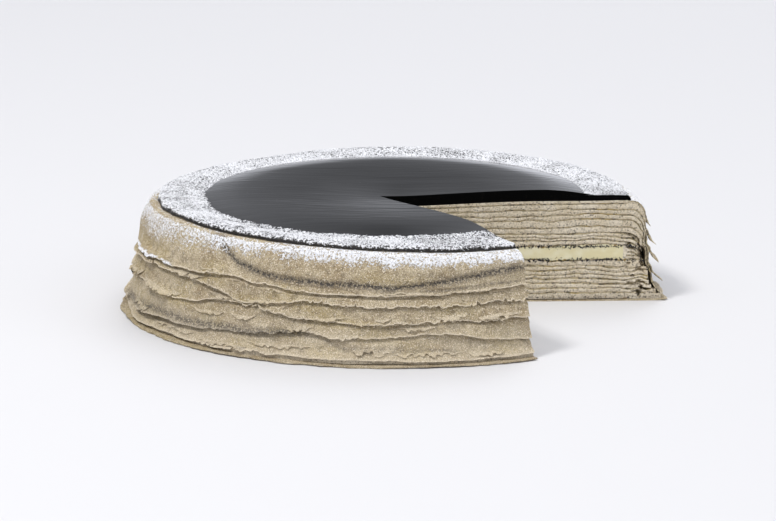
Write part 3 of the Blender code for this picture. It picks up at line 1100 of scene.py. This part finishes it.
def over(tree, colour, layer, mask, strength=1.0):
    """One colour with another over it, as thickly as a mask and its strength say."""
    settings = {"operation": "MULTIPLY", "use_clamp": True}
    share = add(tree, "ShaderNodeMath", settings, {0: mask, 1: strength}).outputs[0]
    mixed = add(tree, "ShaderNodeMix", {"data_type": "RGBA"}, {0: share, 6: colour, 7: layer})
    return mixed.outputs[2]


def grained(tree, shader, coords, size, distance, covered=0.0, thickness=0.0):
    """Gives a surface fine relief, and raises what covers it. All lengths are millimetres."""
    waves = {"Vector": coords, "Scale": per_mm(size), "Detail": 3.0, "Roughness": 0.7}
    grains = add(tree, "ShaderNodeTexNoise", None, waves).outputs[0]
    values = {0: covered, 1: thickness / distance, 2: grains}
    height = add(tree, "ShaderNodeMath", {"operation": "MULTIPLY_ADD"}, values).outputs[0]
    bump = add(tree, "ShaderNodeBump", None, {"Height": height, "Distance": distance * MM})
    tree.links.new(bump.outputs[0], shader.inputs["Normal"])


def sugar_mask(tree, coords):
    """1 where dusted sugar covers the surface, worked out from its share and a fine grain."""
    waves = {"Vector": coords, "Scale": per_mm(1.0), "Detail": 3.0, "Roughness": 0.7}
    grain = add(tree, "ShaderNodeTexNoise", None, waves).outputs[0]
    share = add(tree, "ShaderNodeAttribute", {"attribute_name": "sugar"}).outputs["Fac"]
    values = {0: share, 1: 0.35, 2: 0.22}
    filled = add(tree, "ShaderNodeMath", {"operation": "MULTIPLY_ADD"}, values).outputs[0]
    gap = add(tree, "ShaderNodeMath", {"operation": "SUBTRACT"}, {0: filled, 1: grain}).outputs[0]
    limits = {"Value": gap, "From Min": -0.03, "From Max": 0.06}
    mask = add(tree, "ShaderNodeMapRange", {"interpolation_type": "SMOOTHSTEP"}, limits)
    return mask.outputs["Result"]


def sugar_shade(tree, coords):
    """Colour of dusted sugar, with grey specks of painted shade between its grains."""
    hue = colours()
    grain_shade = specks(tree, coords, 0.6, 0.46, 0.64, 27)
    # Grey specks of painted shade between the grains
    return over(tree, hue["sugar"], hue["sugar_grey"], grain_shade, 0.6)


def settings_in(group):
    """Names of the settings that a group holds."""
    return [key for key in group.bl_rna.properties.keys() if key not in ("rna_type", "name")]


def colours():
    """The colours that a user may change, as linear RGBA."""
    group = bpy.context.scene.cake_colours
    return {key: (*getattr(group, key), 1.0) for key in settings_in(group)}


@functools.lru_cache(maxsize=None)
def crepe_skin():
    """Griddled crepe batter with ground black sesame: matt, speckled beige, with dark dotted lines,
    and with painted light on its lips, flaps and foot.
    """
    hue = colours()
    material, tree, shader, coords = new_material("griddled_crepe", 0.75)
    shader.inputs["Specular IOR Level"].default_value = 0.3
    marks = {
        name: add(tree, "ShaderNodeAttribute", {"attribute_name": name}).outputs["Fac"]
        for name in ("golden", "pale", "toast")
    }
    colour = over(tree, hue["crepe"], hue["crepe_khaki"], specks(tree, coords, 24.0, 0.36, 0.64, 3))
    colour = over(tree, colour, hue["crepe_golden"], marks["golden"], 0.7)
    colour = over(tree, colour, hue["crepe_pale"], specks(tree, coords, 4.2, 0.35, 0.75, 5), 0.5)
    colour = over(tree, colour, hue["crepe_dark"], specks(tree, coords, 3.0, 0.48, 0.75, 6), 0.45)
    colour = over(tree, colour, hue["crepe_dark"], specks(tree, coords, 0.45, 0.5, 0.62, 7), 0.6)
    colour = over(tree, colour, hue["crepe_light"], specks(tree, coords, 0.5, 0.57, 0.64, 9), 0.85)
    # Painted light: a highlight on the torn lips and flaps, and bounce light towards the foot
    colour = over(tree, colour, hue["crepe_light"], marks["pale"], 0.55)
    dots = {0: specks(tree, coords, 0.8, 0.38, 0.56, 11), 1: 0.7, 2: 0.3}
    dotted = add(tree, "ShaderNodeMath", {"operation": "MULTIPLY_ADD"}, dots).outputs[0]
    colour = over(tree, colour, hue["toasted"], marks["toast"], dotted)
    mask = sugar_mask(tree, coords)
    colour = over(tree, colour, sugar_shade(tree, coords), mask)
    tree.links.new(colour, shader.inputs["Base Color"])
    grained(tree, shader, coords, 0.8, 0.3, mask, 0.15)
    return material


@functools.lru_cache(maxsize=None)
def crepe_edge():
    """The cut edge of a crepe: a thin khaki line with sesame in it, smeared over by cream."""
    hue = colours()
    material, tree, shader, coords = new_material("crepe_edge", 0.75)
    colour = over(tree, hue["edge"], hue["edge_faint"], specks(tree, coords, 9.0, 0.36, 0.56, 12))
    colour = over(tree, colour, hue["edge_golden"], specks(tree, coords, 16.0, 0.6, 0.68, 13))
    colour = over(tree, colour, hue["cream"], specks(tree, coords, 3.6, 0.54, 0.64, 14), 0.5)
    colour = over(tree, colour, hue["sesame"], specks(tree, coords, 1.1, 0.5, 0.62, 15), 0.75)
    tree.links.new(colour, shader.inputs["Base Color"])
    return material


@functools.lru_cache(maxsize=None)
def cream_filling():
    """Whipped cream with ground sesame: pale, grainy with specks, greyer towards the foot."""
    hue = colours()
    material, tree, shader, coords = new_material("sesame_cream", 0.65)
    colour = over(tree, hue["cream"], hue["cream_pale"], specks(tree, coords, 9.0, 0.35, 0.7, 17))
    height = add(tree, "ShaderNodeSeparateXYZ", None, {0: coords}).outputs["Z"]
    foot = {"Value": height, "From Min": 0.0, "From Max": 7.0 * MM, "To Min": 1.0, "To Max": 0.0}
    low = add(tree, "ShaderNodeMapRange", None, foot).outputs["Result"]
    colour = over(tree, colour, hue["cream_grey"], low, 0.75)
    colour = over(tree, colour, hue["cream_dark"], specks(tree, coords, 0.9, 0.46, 0.62, 19), 0.5)
    colour = over(tree, colour, hue["cream_pale"], specks(tree, coords, 0.7, 0.55, 0.64, 20), 0.7)
    colour = over(tree, colour, hue["sesame"], specks(tree, coords, 0.8, 0.61, 0.66, 21), 0.6)
    tree.links.new(colour, shader.inputs["Base Color"])
    grained(tree, shader, coords, 0.7, 0.2)
    return material


@functools.lru_cache(maxsize=None)
def set_custard():
    """Baked custard, cut clean: smooth pale yellow with faint pores."""
    hue = colours()
    material, tree, shader, coords = new_material("set_custard", 0.5)
    patches = specks(tree, coords, 6.0, 0.3, 0.7, 23)
    colour = over(tree, hue["custard"], hue["custard_deep"], patches)
    tree.links.new(colour, shader.inputs["Base Color"])
    grained(tree, shader, coords, 1.4, 0.09)
    return material


@functools.lru_cache(maxsize=None)
def sesame_ganache():
    """Dark ganache with ground sesame: near black, fine-grained and satin, under sugar."""
    hue = colours()
    material, tree, shader, coords = new_material("sesame_ganache", 0.5)
    fine = specks(tree, coords, 0.6, 0.58, 0.7, 25)
    colour = over(tree, hue["ganache"], hue["ganache_speck"], fine, 0.6)
    mask = sugar_mask(tree, coords)
    colour = over(tree, colour, sugar_shade(tree, coords), mask)
    tree.links.new(colour, shader.inputs["Base Color"])
    rough = add(tree, "ShaderNodeMath", {"operation": "MULTIPLY_ADD"}, {0: mask, 1: 0.4, 2: 0.5})
    tree.links.new(rough.outputs[0], shader.inputs["Roughness"])
    grained(tree, shader, coords, 0.6, 0.12, mask, 0.25)
    return material


@functools.lru_cache(maxsize=None)
def mirror_glaze():
    """Poured gelatine glaze: black, deep and glossy, with faint streaks of the palette knife."""
    hue = colours()
    material, tree, shader, coords = new_material("mirror_glaze", 0.1, 1.42)
    mask = sugar_mask(tree, coords)
    colour = over(tree, hue["glaze"], sugar_shade(tree, coords), mask)
    tree.links.new(colour, shader.inputs["Base Color"])
    rough = add(tree, "ShaderNodeMath", {"operation": "MULTIPLY_ADD"}, {0: mask, 1: 0.8, 2: 0.1})
    tree.links.new(rough.outputs[0], shader.inputs["Roughness"])
    streaks = add(tree, "ShaderNodeMapping", None, {"Vector": coords, "Scale": (0.16, 1.0, 1.0)})
    grained(tree, shader, streaks.outputs[0], 12.0, 0.26, mask, 0.7)
    return material


@functools.lru_cache(maxsize=None)
def cut_glaze():
    """The knife's cut through glaze and ganache: soft, dark and without gloss."""
    hue = colours()
    material, tree, shader, coords = new_material("cut_glaze", 0.8)
    shader.inputs["Specular IOR Level"].default_value = 0.03
    smear = specks(tree, coords, 2.2, 0.55, 0.75, 31)
    colour = over(tree, hue["glaze"], hue["ganache"], smear, 0.2)
    tree.links.new(colour, shader.inputs["Base Color"])
    return material


@functools.lru_cache(maxsize=None)
def icing_sugar():
    """Dusted icing sugar that has clumped: dull white."""
    material, tree, shader, coords = new_material("icing_sugar", 0.9)
    tree.links.new(sugar_shade(tree, coords), shader.inputs["Base Color"])
    return material


@functools.lru_cache(maxsize=None)
def crushed_sesame():
    """Crushed roast black sesame: dull black with some golden hulls."""
    material, tree, shader, coords = new_material("crushed_sesame", 0.6)
    hue = colours()
    hull = specks(tree, coords, 2.2, 0.6, 0.64, 29)
    colour = over(tree, hue["sesame"], hue["sesame_golden"], hull)
    tree.links.new(colour, shader.inputs["Base Color"])
    return material


# ---------------------------------------------------------------- settings


def shade(label, description, code):
    """A colour that a user may change."""
    return bpy.props.FloatVectorProperty(
        name=label,
        description=description,
        subtype="COLOR",
        size=3,
        min=0.0,
        max=1.0,
        default=linear(code)[:3],
    )


def length(label, description, default):
    """A size that a user may change."""
    return bpy.props.FloatProperty(
        name=label, description=description, default=default, min=0.0, unit="LENGTH", precision=5
    )


class CakeSizes(bpy.types.PropertyGroup):
    """Sizes of the cake's finer features."""

    crumb_step: length("Crumb step", "Spacing of points along a cut face", 0.7 * MM)
    settling: length("Settling", "How far the layers rise and fall", 1.9 * MM)
    crumb: length("Crumb", "Relief of the cut cream", 0.8 * MM)
    wrinkle: length("Wrinkle", "Relief of the skirts' skin", 0.45 * MM)
    column: length("Column", "Spacing of points along the skirts", 0.5 * MM)
    clump: length("Sugar clump", "Size of the largest sugar clump", 1.1 * MM)
    grain: length("Sesame lump", "Size of the largest lump of crushed sesame", 1.4 * MM)


class CakeColours(bpy.types.PropertyGroup):
    """Colours of the cake's batters, creams and toppings."""

    crepe: shade("Crepe", "Crepe skin", "#B8A88A")
    crepe_khaki: shade("Khaki crepe", "Crepe skin where it holds more sesame", "#A79575")
    crepe_golden: shade("Golden crepe", "Crepe skin where it browned", "#B39F68")
    crepe_pale: shade("Pale crepe", "Crepe skin where it stayed pale", "#D3C5A8")
    # Also the colour of the painted highlight on lips and flaps, and of the painted bounce light
    # towards the foot
    crepe_light: shade("Light speck", "Dry floury specks and torn lips", "#EBDFC9")
    crepe_dark: shade("Sesame in crepe", "Ground sesame in the crepe", "#5F5240")
    toasted: shade("Toasted crepe", "Dark griddle lines", "#474340")
    edge: shade("Crepe edge", "Cut edge of a crepe", "#857858")
    edge_faint: shade("Faint edge", "Cut edge where cream smeared over it", "#AFA182")
    edge_golden: shade("Golden edge", "Cut edge where it browned", "#A89563")
    cream: shade("Cream", "Sesame cream", "#D3C5AA")
    cream_pale: shade("Pale cream", "Sesame cream with less sesame", "#E0D5C0")
    cream_grey: shade("Grey cream", "Sesame cream near the foot", "#B3A998")
    cream_dark: shade("Cream grain", "Ground sesame in the cream", "#978870")
    custard: shade("Custard", "Custard disc", "#E6E0C2")
    custard_deep: shade("Deep custard", "Custard where it set yellower", "#DDD3A8")
    ganache: shade("Ganache", "Sesame ganache", "#1B1815")
    ganache_speck: shade("Ganache speck", "Ground sesame in the ganache", "#6B6153")
    glaze: shade("Glaze", "Mirror glaze", "#060606")
    sugar: shade("Sugar", "Icing sugar", "#F7F7F8")
    # Grey of the painted shade between sugar grains
    sugar_grey: shade("Sugar shade", "Icing sugar where it took up moisture", "#B4B5BB")
    sesame: shade("Sesame", "Crushed black sesame", "#1B1C22")
    sesame_golden: shade("Golden hull", "Sesame hulls", "#947B45")


class StageSettings(bpy.types.PropertyGroup):
    """Floor, lamps and camera."""

    floor: shade("Floor", "Pale studio floor", "#DDDCDC")
    key_power: bpy.props.FloatProperty(
        name="Key lamp", description="Power of the large lamp", default=19.0, min=0.0, unit="POWER"
    )
    camera_height: length("Camera height", "Height of the camera", 467.4 * MM)
    camera_distance: length("Camera distance", "Distance of the camera", 1956.6 * MM)


def adopt(piece, slot, *nodes):
    """Makes a finished piece part of the cake, in place of those solids."""
    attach(piece, BODY)
    if nodes:
        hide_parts(*nodes)
    return piece


def relief(piece, material, crumb=0.0, wrinkle=0.0, wrinkle_size=4.0, settle=1.0):
    """Settles a piece with its neighbours and gives it its crumb, wrinkles and material."""
    sizes = bpy.context.scene.cake_sizes
    values = {
        "Settling": settle * sizes.settling,
        "Crumb": crumb * sizes.crumb,
        "Wrinkle": wrinkle * sizes.wrinkle,
        "Wrinkle size": wrinkle_size * MM,
        "Material": material,
    }
    return run_tree(piece, relief_tree(), values)


def read_values(mesh, name):
    """The value that a mesh keeps for each point."""
    values = np.zeros(len(mesh.vertices), np.float32)
    mesh.attributes[name].data.foreach_get("value", values)
    return values


def read_push(mesh):
    """1 for the points of the cut faces."""
    values = np.zeros(len(mesh.vertices) * 3, np.float32)
    mesh.attributes["push"].data.foreach_get("vector", values)
    return (np.abs(values.reshape(-1, 3)).max(1) > 0.1).astype(np.float32)


def read_places(mesh):
    """Where each point of a mesh is, in metres."""
    places = np.zeros(len(mesh.vertices) * 3, np.float32)
    mesh.vertices.foreach_get("co", places)
    return places.reshape(-1, 3)


def dress_cut(piece, material):
    """Gives the cut faces of a piece a material of their own."""
    mesh = piece.data
    mesh.materials.append(material)
    on_cut = read_push(mesh) > 0.5
    for polygon in mesh.polygons:
        if all(on_cut[vertex] for vertex in polygon.vertices) and abs(polygon.normal.z) < 0.6:
            polygon.material_index = len(mesh.materials) - 1


# ---------------------------------------------------------------- operators


class CAKE_OT_stack(bpy.types.Operator):
    """Build the crepes and creams inside the skirts"""

    bl_idname = "cake.stack"
    bl_label = "Stack"

    def execute(self, context):
        draped = [skirt.node for skirt in SKIRTS]
        for order, node in enumerate(CREPES):
            if node in draped or node == "crepe_01":
                continue
            top = TOP[node]
            radius = None if order < LOWER_CREPES else UPPER_RIM
            name = f"layer_{node}"
            looks = dict(rows=2, bulge=-0.1, ragged=0.7, seed=order + 501)
            piece = build_layer(name, top, top - CREPE, radius, **looks)
            adopt(relief(piece, crepe_edge(), crumb=0.7), "crepe", node)
        for order, node in enumerate(CREAMS[:-1]):
            below = order if order < LOWER_CREPES - 1 else order + 1
            above = CREPES[below + 1]
            name = f"filling_{node}"
            if above in draped:
                loft = Loft()
                shape = filling_shape(draped.index(above))
                fine, coarse = filling_course(True), filling_course(False)
                sweep(loft, shape, kept_angles(4.0), fine, coarse, rows=4, bulge=0.16)
                piece = loft.build(name)
            else:
                bottom, top = TOP[CREPES[below]], TOP[above] - CREPE
                radius = None if order < LOWER_CREPES - 1 else UPPER_RIM
                looks = dict(rows=5, bulge=0.18, ragged=0.6, seed=order + 551)
                piece = build_layer(name, top, bottom, radius, **looks)
            adopt(relief(piece, cream_filling(), crumb=1.0), "sesame_cream", node)
        node = CREAMS[-1]
        looks = dict(rows=3, bulge=0.1, ragged=0.3, seed=599)
        piece = build_layer(f"filling_{node}", TOP[node], TOP[CREPES[-1]], rim_of(node), **looks)
        adopt(relief(piece, cream_filling(), crumb=0.8), "sesame_cream", node)
        return {"FINISHED"}


class CAKE_OT_base(bpy.types.Operator):
    """Build the lowest crepe, which spreads out under the cake"""

    bl_idname = "cake.base"
    bl_label = "Base crepe"

    def execute(self, context):
        loft = Loft()
        coarse, fine = (
            np.concatenate((np.linspace(0, BASE_FLAT, flat)[:-1], np.linspace(BASE_FLAT, 1.0, spread)))
            for flat, spread in ((8, 14), (150, 18))
        )
        step = context.scene.cake_sizes.column / MM
        shape = base_shape(TOP["crepe_01"] - 0.5)
        sweep(loft, shape, kept_angles(2.0 * step), fine, coarse, rows=2)
        piece = loft.build("base_crepe", {"toast": toast_on_flaps, "golden": golden_on_side})
        adopt(relief(piece, crepe_skin(), crumb=0.5), "crepe", "crepe_01")
        return {"FINISHED"}


class CAKE_OT_custard(bpy.types.Operator):
    """Build the custard disc"""

    bl_idname = "cake.custard"
    bl_label = "Custard"

    def execute(self, context):
        radius = rim_of("custard")
        looks = dict(rows=12, bulge=0.05, ragged=0.2, seed=601)
        piece = build_layer("custard_disc", OVER_CUSTARD, UNDER_CUSTARD, radius, **looks)
        adopt(relief(piece, set_custard(), crumb=0.35), "custard", "custard")
        return {"FINISHED"}


def collar_shape(low, high, start, end):
    """Section of a ring round the custard, between two shares of the custard's height."""

    def shape(angle, shares):
        first, last = reach(angle, start), reach(angle, end)
        distance = first + (last - first) * shares
        at, azimuth = radius_on(angle, distance), rim_azimuth(angle)
        ceiling = OVER_CUSTARD - rim_droop(at, OVER_CUSTARD, azimuth)
        floor = UNDER_CUSTARD - rim_droop(at, UNDER_CUSTARD, azimuth)
        wave = 0.35 * patchy(at / 2.1, azimuth / 9.0 + low, 73)
        sides = (floor + (ceiling - floor) * share for share in (high, low))
        return [ray(angle, distance, side + wave * low) for side in sides]

    return shape


class CAKE_OT_collar(bpy.types.Operator):
    """Build the cream collar round the custard, with the crepe rims folded into it"""

    bl_idname = "cake.collar"
    bl_label = "Cream collar"

    def execute(self, context):
        inner, outer = rim_of("custard") - 0.5, UPPER_RIM - 0.3
        fine, coarse, angles = np.linspace(0, 1, 15), np.linspace(0, 1, 4), kept_angles(6.0)
        loft = Loft()
        shape = collar_shape(0.0, 1.0, inner, outer)
        sweep(loft, shape, angles, fine, coarse, rows=14, ring=True, pits=cave)
        piece = relief(loft.build("collar_of_cream"), cream_filling(), crumb=1.6)
        adopt(piece, "sesame_cream", "cream_collar")
        loft = Loft()
        for low in (0.16, 0.42, 0.7):
            shape = collar_shape(low, low + 0.13, inner + 1.2 + 2.0 * low, outer - 0.6)
            sweep(loft, shape, angles, fine, coarse, rows=2, ring=True, bulge=0.25)
        adopt(relief(loft.build("folded_rims"), crepe_edge(), crumb=0.7), "crepe")
        return {"FINISHED"}


class CAKE_OT_skirts(bpy.types.Operator):
    """Build the five wide crepes that hang over the side"""

    bl_idname = "cake.skirts"
    bl_label = "Draped skirts"

    def execute(self, context):
        step = context.scene.cake_sizes.column / MM
        for order, skirt in enumerate(SKIRTS):
            loft = Loft()
            fine, coarse = skirt_course(order, True), skirt_course(order, False)
            sweep(loft, skirt_shape(order), kept_angles(step), fine, coarse, rows=2)
            # pale holds painted light: a highlight on the lip and bounce light towards the foot
            values = {"toast": toast_on_side, "golden": golden_on_side, "pale": painted_light_on_lip(order)}
            values["sugar"] = sugar_on_side
            piece = loft.build(f"skirt_{order + 1}", values)
            relief(piece, crepe_skin(), crumb=0.5, wrinkle=1.0)
            dress_cut(piece, crepe_edge())
            adopt(piece, "crepe", skirt.node)
        return {"FINISHED"}


class CAKE_OT_flaps(bpy.types.Operator):
    """Build the torn pieces of crepe on the side"""

    bl_idname = "cake.flaps"
    bl_label = "Torn flaps"

    def execute(self, context):
        piece = build_flaps("torn_flaps")
        adopt(relief(piece, crepe_skin(), wrinkle=0.8), "crepe")
        return {"FINISHED"}


class CAKE_OT_topping(bpy.types.Operator):
    """Build the ganache and the mirror glaze"""

    bl_idname = "cake.topping"
    bl_label = "Ganache and glaze"

    def execute(self, context):
        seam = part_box("ganache")[1].z / MM
        # Between the cut faces the points are closer together towards the rims
        fine = cut_shares(rim_of("ganache"), context.scene.cake_sizes.crumb_step / MM)
        flat, slope = np.linspace(0, 0.74, 10)[:-1], np.linspace(0.74, 0.96, 16)[:-1]
        coarse = np.concatenate((flat, slope, np.linspace(0.96, 1, 11)))
        loft = Loft()
        shape = ganache_shape(seam, TOP[CREAMS[-1]], rim_of("ganache"))
        sweep(loft, shape, kept_angles(1.5), fine, coarse, rows=4)
        piece = loft.build("sesame_ganache", {"sugar": sugar_on_top})
        relief(piece, sesame_ganache(), crumb=0.25, settle=0.0)
        dress_cut(piece, cut_glaze())
        adopt(piece, "ganache", "ganache")
        loft = Loft()
        flat = np.linspace(0, 0.84, 26)[:-1]
        coarse = np.concatenate((flat, np.linspace(0.84, 1.0, 24)))
        shape = glaze_shape(TOP["glaze"], seam, rim_of("glaze"))
        fine = cut_shares(rim_of("glaze"), 1.0)
        sweep(loft, shape, kept_angles(1.5), fine, coarse, rows=4)
        piece = loft.build("mirror_glaze", {"sugar": sugar_on_top})
        relief(piece, mirror_glaze(), crumb=0.1, settle=0.0)
        dress_cut(piece, cut_glaze())
        adopt(piece, "glaze", "glaze")
        return {"FINISHED"}


def host_of(name, pieces, share_of):
    """A mesh of those pieces' faces on which something lies, with its share for each point."""
    points, faces, shares, count = [], [], [], 0
    for label in pieces:
        mesh = bpy.data.objects[label].data
        share = share_of(mesh)
        loops = np.zeros(len(mesh.loops), int)
        mesh.loops.foreach_get("vertex_index", loops)
        for polygon in mesh.polygons:
            corners = loops[polygon.loop_start : polygon.loop_start + polygon.loop_total]
            if share[corners].min() > 0.02:
                faces.append((corners + count).tolist())
        points.append(read_places(mesh))
        shares.append(share)
        count += len(mesh.vertices)
    mesh = bpy.data.meshes.new(name)
    mesh.from_pydata(np.concatenate(points).tolist(), [], faces)
    store(mesh, "share", np.concatenate(shares))
    made = bpy.data.objects.new(name, mesh)
    bpy.context.scene.collection.objects.link(made)
    return made


def strew(name, hosts, share_of, density, largest, smallest_share, seed, material):
    """Strews grains over the hosts' faces: density is in grains per square millimetre."""
    values = {
        "Density": density / MM**2,
        "Smallest": smallest_share * largest,
        "Largest": largest,
        "Flatness": 0.75,
        "Seed": seed,
        "Material": material,
    }
    return run_tree(host_of(name, hosts, share_of), scatter_tree(), values)


class CAKE_OT_sugar(bpy.types.Operator):
    """Strew clumps of icing sugar over the top, the shoulder and the loose lip"""

    bl_idname = "cake.sugar"
    bl_label = "Icing sugar"

    def execute(self, context):
        def share_of(mesh):
            dusted = np.minimum(read_values(mesh, "sugar"), 1.1) * (1.0 - read_push(mesh))
            return dusted**1.4

        clump = context.scene.cake_sizes.clump
        hosts = ["sesame_ganache", "mirror_glaze", "skirt_1", "skirt_2", "torn_flaps"]
        piece = strew("icing_sugar", hosts, share_of, 1.15, clump, 0.3, 3, icing_sugar())
        adopt(piece, "sugar")
        return {"FINISHED"}


class CAKE_OT_sesame(bpy.types.Operator):
    """Strew crushed sesame over the cut faces, in lumps above and below the custard"""

    bl_idname = "cake.sesame"
    bl_label = "Crushed sesame"

    def execute(self, context):
        foot = TOP[CREPES[0]] + 0.6

        def share_of(mesh):
            height = read_places(mesh)[:, 2] / MM
            strewn = 0.0 if mesh.name.startswith("custard") else 0.1
            share = strewn + 0.4 * np.exp(-(((height - foot) / 0.7) ** 2))
            for seam in (UNDER_CUSTARD, OVER_CUSTARD):
                share = share + np.exp(-(((height - seam) / 0.8) ** 2))
            return share * read_push(mesh)

        hosts = [f"filling_{node}" for node in CREAMS] + ["collar_of_cream", "custard_disc"]
        hosts += [f"layer_{CREPES[LOWER_CREPES - 1]}", f"layer_{CREPES[LOWER_CREPES]}"]
        grain = context.scene.cake_sizes.grain
        piece = strew("crushed_sesame", hosts, share_of, 2.2, grain, 0.35, 5, crushed_sesame())
        adopt(piece, "sesame")
        return {"FINISHED"}


# Metres that the floor reaches to each side
FLOOR_REACH = 6.0

# The sky: its brightness by the height that one looks at, and by how far to the right, both as
# a position on a ramp and a level
SKY_BY_HEIGHT = (
    (0.0, 0.97), (0.06, 0.87), (0.12, 0.54), (0.18, 0.4), (0.223, 0.43), (0.3, 0.44),
    (0.45, 0.46), (0.7, 0.97),
)
SKY_BY_SIDE = ((0.0, 0.25), (0.4, 0.48), (0.5, 0.25), (0.6, 0.8), (1.0, 0.25))
SKY_TINT = (0.957, 0.98, 1.055)
SKY_STRENGTH = 2.45

# A soft square lamp: its place and size in metres, its share of the key lamp's power, and
# whether it shows in the glaze
Lamp = namedtuple("Lamp", "name place size share colour glossy")
LAMPS = (
    Lamp("key", (-0.8, -0.7, 1.7), 0.4, 1.0, (1.0, 0.99, 0.98), True),
    Lamp("fill", (1.6, -0.8, 1.1), 1.2, 0.3, (0.98, 0.99, 1.0), True),
    Lamp("back", (0.5, 1.7, 1.6), 1.3, 0.5, (0.98, 0.99, 1.0), False),
)

# The camera: millimetres of sensor and lens, how far it stands to the right, and the degrees
# that it looks down
SENSOR_WIDTH = 36.0
LENS = 206.9
CAMERA_RIGHT = -2.9
LOOK_DOWN = 12.9


def hang_lamp(lamp, power):
    """Hangs a lamp that points at the cake."""
    light = bpy.data.lights.new(lamp.name, "AREA")
    light.size = lamp.size
    light.energy = lamp.share * power
    light.color = lamp.colour
    made = bpy.data.objects.new(lamp.name, light)
    made.location = lamp.place
    aim = -made.location.normalized()
    made.rotation_euler = aim.to_track_quat("-Z", "Y").to_euler()
    made.visible_camera = False
    made.visible_glossy = lamp.glossy
    bpy.context.scene.collection.objects.link(made)


def lay_floor(colour):
    """Lays the pale floor."""
    corners = [(x * FLOOR_REACH, y * FLOOR_REACH, 0) for x, y in ((-1, -1), (1, -1), (1, 1), (-1, 1))]
    mesh = bpy.data.meshes.new("floor")
    mesh.from_pydata(corners, [], [(0, 1, 2, 3)])
    floor = bpy.data.objects.new("floor", mesh)
    bpy.context.scene.collection.objects.link(floor)
    material, _tree, shader, _coords = new_material("studio_floor", 0.9)
    shader.inputs["Base Color"].default_value = (*colour, 1.0)
    shader.inputs["Specular IOR Level"].default_value = 0.2
    mesh.materials.append(material)


def light_sky():
    """Lights the studio all round, darker where the glaze would mirror it to the camera."""
    world = bpy.data.worlds.new("studio")
    world.use_nodes = True
    tree = world.node_tree
    direction = add(tree, "ShaderNodeTexCoord").outputs["Generated"]
    split = add(tree, "ShaderNodeSeparateXYZ", None, {0: direction}).outputs
    ramp = add(tree, "ShaderNodeValToRGB", None, {0: split["Z"]})
    fill_ramp(ramp.color_ramp.elements, SKY_BY_HEIGHT, SKY_TINT)
    ends = {"Value": split["X"], "From Min": -0.5, "From Max": 0.5}
    sideways = add(tree, "ShaderNodeMapRange", None, ends).outputs["Result"]
    gain = add(tree, "ShaderNodeValToRGB", None, {0: sideways})
    fill_ramp(gain.color_ramp.elements, SKY_BY_SIDE, (1.0, 1.0, 1.0))
    settings = {"data_type": "RGBA", "blend_type": "MULTIPLY"}
    lit = add(tree, "ShaderNodeMix", settings, {0: 1.0, 6: ramp.outputs[0], 7: gain.outputs[0]})
    background = tree.nodes["Background"]
    tree.links.new(lit.outputs[2], background.inputs["Color"])
    background.inputs["Strength"].default_value = SKY_STRENGTH
    bpy.context.scene.world = world


def place_camera(distance, height):
    """Places the camera in front of the cake, looking down a little through a long lens."""
    camera = bpy.data.cameras.new("camera")
    camera.sensor_fit = "HORIZONTAL"
    camera.sensor_width = SENSOR_WIDTH
    camera.lens = LENS
    camera.clip_end = 30.0
    holder = bpy.data.objects.new("camera", camera)
    holder.location = (CAMERA_RIGHT * MM, -distance, height)
    holder.rotation_euler = (math.radians(90.0 - LOOK_DOWN), 0.0, 0.0)
    bpy.context.scene.collection.objects.link(holder)
    bpy.context.scene.camera = holder


def fill_ramp(elements, steps, colour):
    """Sets a colour ramp's stops to one colour, at the position and level of each step."""
    elements[0].position = steps[0][0]
    elements[1].position = steps[-1][0]
    for position, _level in steps[1:-1]:
        elements.new(position)
    for element, (_position, level) in zip(elements, steps):
        element.color = (*(level * channel for channel in colour), 1.0)


class CAKE_OT_stage(bpy.types.Operator):
    """Set up the floor, the soft light and the camera"""

    bl_idname = "cake.stage"
    bl_label = "Stage"

    def execute(self, context):
        settings = context.scene.cake_stage
        lay_floor(settings.floor)
        light_sky()
        for lamp in LAMPS:
            hang_lamp(lamp, settings.key_power)
        place_camera(settings.camera_distance, settings.camera_height)
        context.scene.view_settings.view_transform = "Standard"
        return {"FINISHED"}


class CAKE_PT_panel(bpy.types.Panel):
    """Lists the cake's pieces and settings"""

    bl_idname = "CAKE_PT_panel"
    bl_label = "Crepe cake"
    bl_space_type = "VIEW_3D"
    bl_region_type = "UI"
    bl_category = "Cake"

    def draw(self, context):
        layout = self.layout
        for operator in OPERATORS:
            layout.operator(operator.bl_idname)
        for group in (context.scene.cake_sizes, context.scene.cake_colours):
            for key in settings_in(group):
                layout.prop(group, key)


OPERATORS = (
    CAKE_OT_stage,
    CAKE_OT_stack,
    CAKE_OT_base,
    CAKE_OT_custard,
    CAKE_OT_collar,
    CAKE_OT_skirts,
    CAKE_OT_flaps,
    CAKE_OT_topping,
    CAKE_OT_sugar,
    CAKE_OT_sesame,
)
CLASSES = (CakeSizes, CakeColours, StageSettings, *OPERATORS, CAKE_PT_panel)


def register():
    for each in CLASSES:
        bpy.utils.register_class(each)
    bpy.types.Scene.cake_sizes = bpy.props.PointerProperty(type=CakeSizes)
    bpy.types.Scene.cake_colours = bpy.props.PointerProperty(type=CakeColours)
    bpy.types.Scene.cake_stage = bpy.props.PointerProperty(type=StageSettings)


def unregister():
    for key in ("cake_stage", "cake_colours", "cake_sizes"):
        delattr(bpy.types.Scene, key)
    for each in reversed(CLASSES):
        bpy.utils.unregister_class(each)


def main():
    register()
    bpy.ops.cake.stage()
    bpy.ops.cake.stack()
    bpy.ops.cake.base()
    bpy.ops.cake.custard()
    bpy.ops.cake.collar()
    bpy.ops.cake.skirts()
    bpy.ops.cake.flaps()
    bpy.ops.cake.topping()
    bpy.ops.cake.sugar()
    bpy.ops.cake.sesame()


if __name__ == "__main__":
    main()
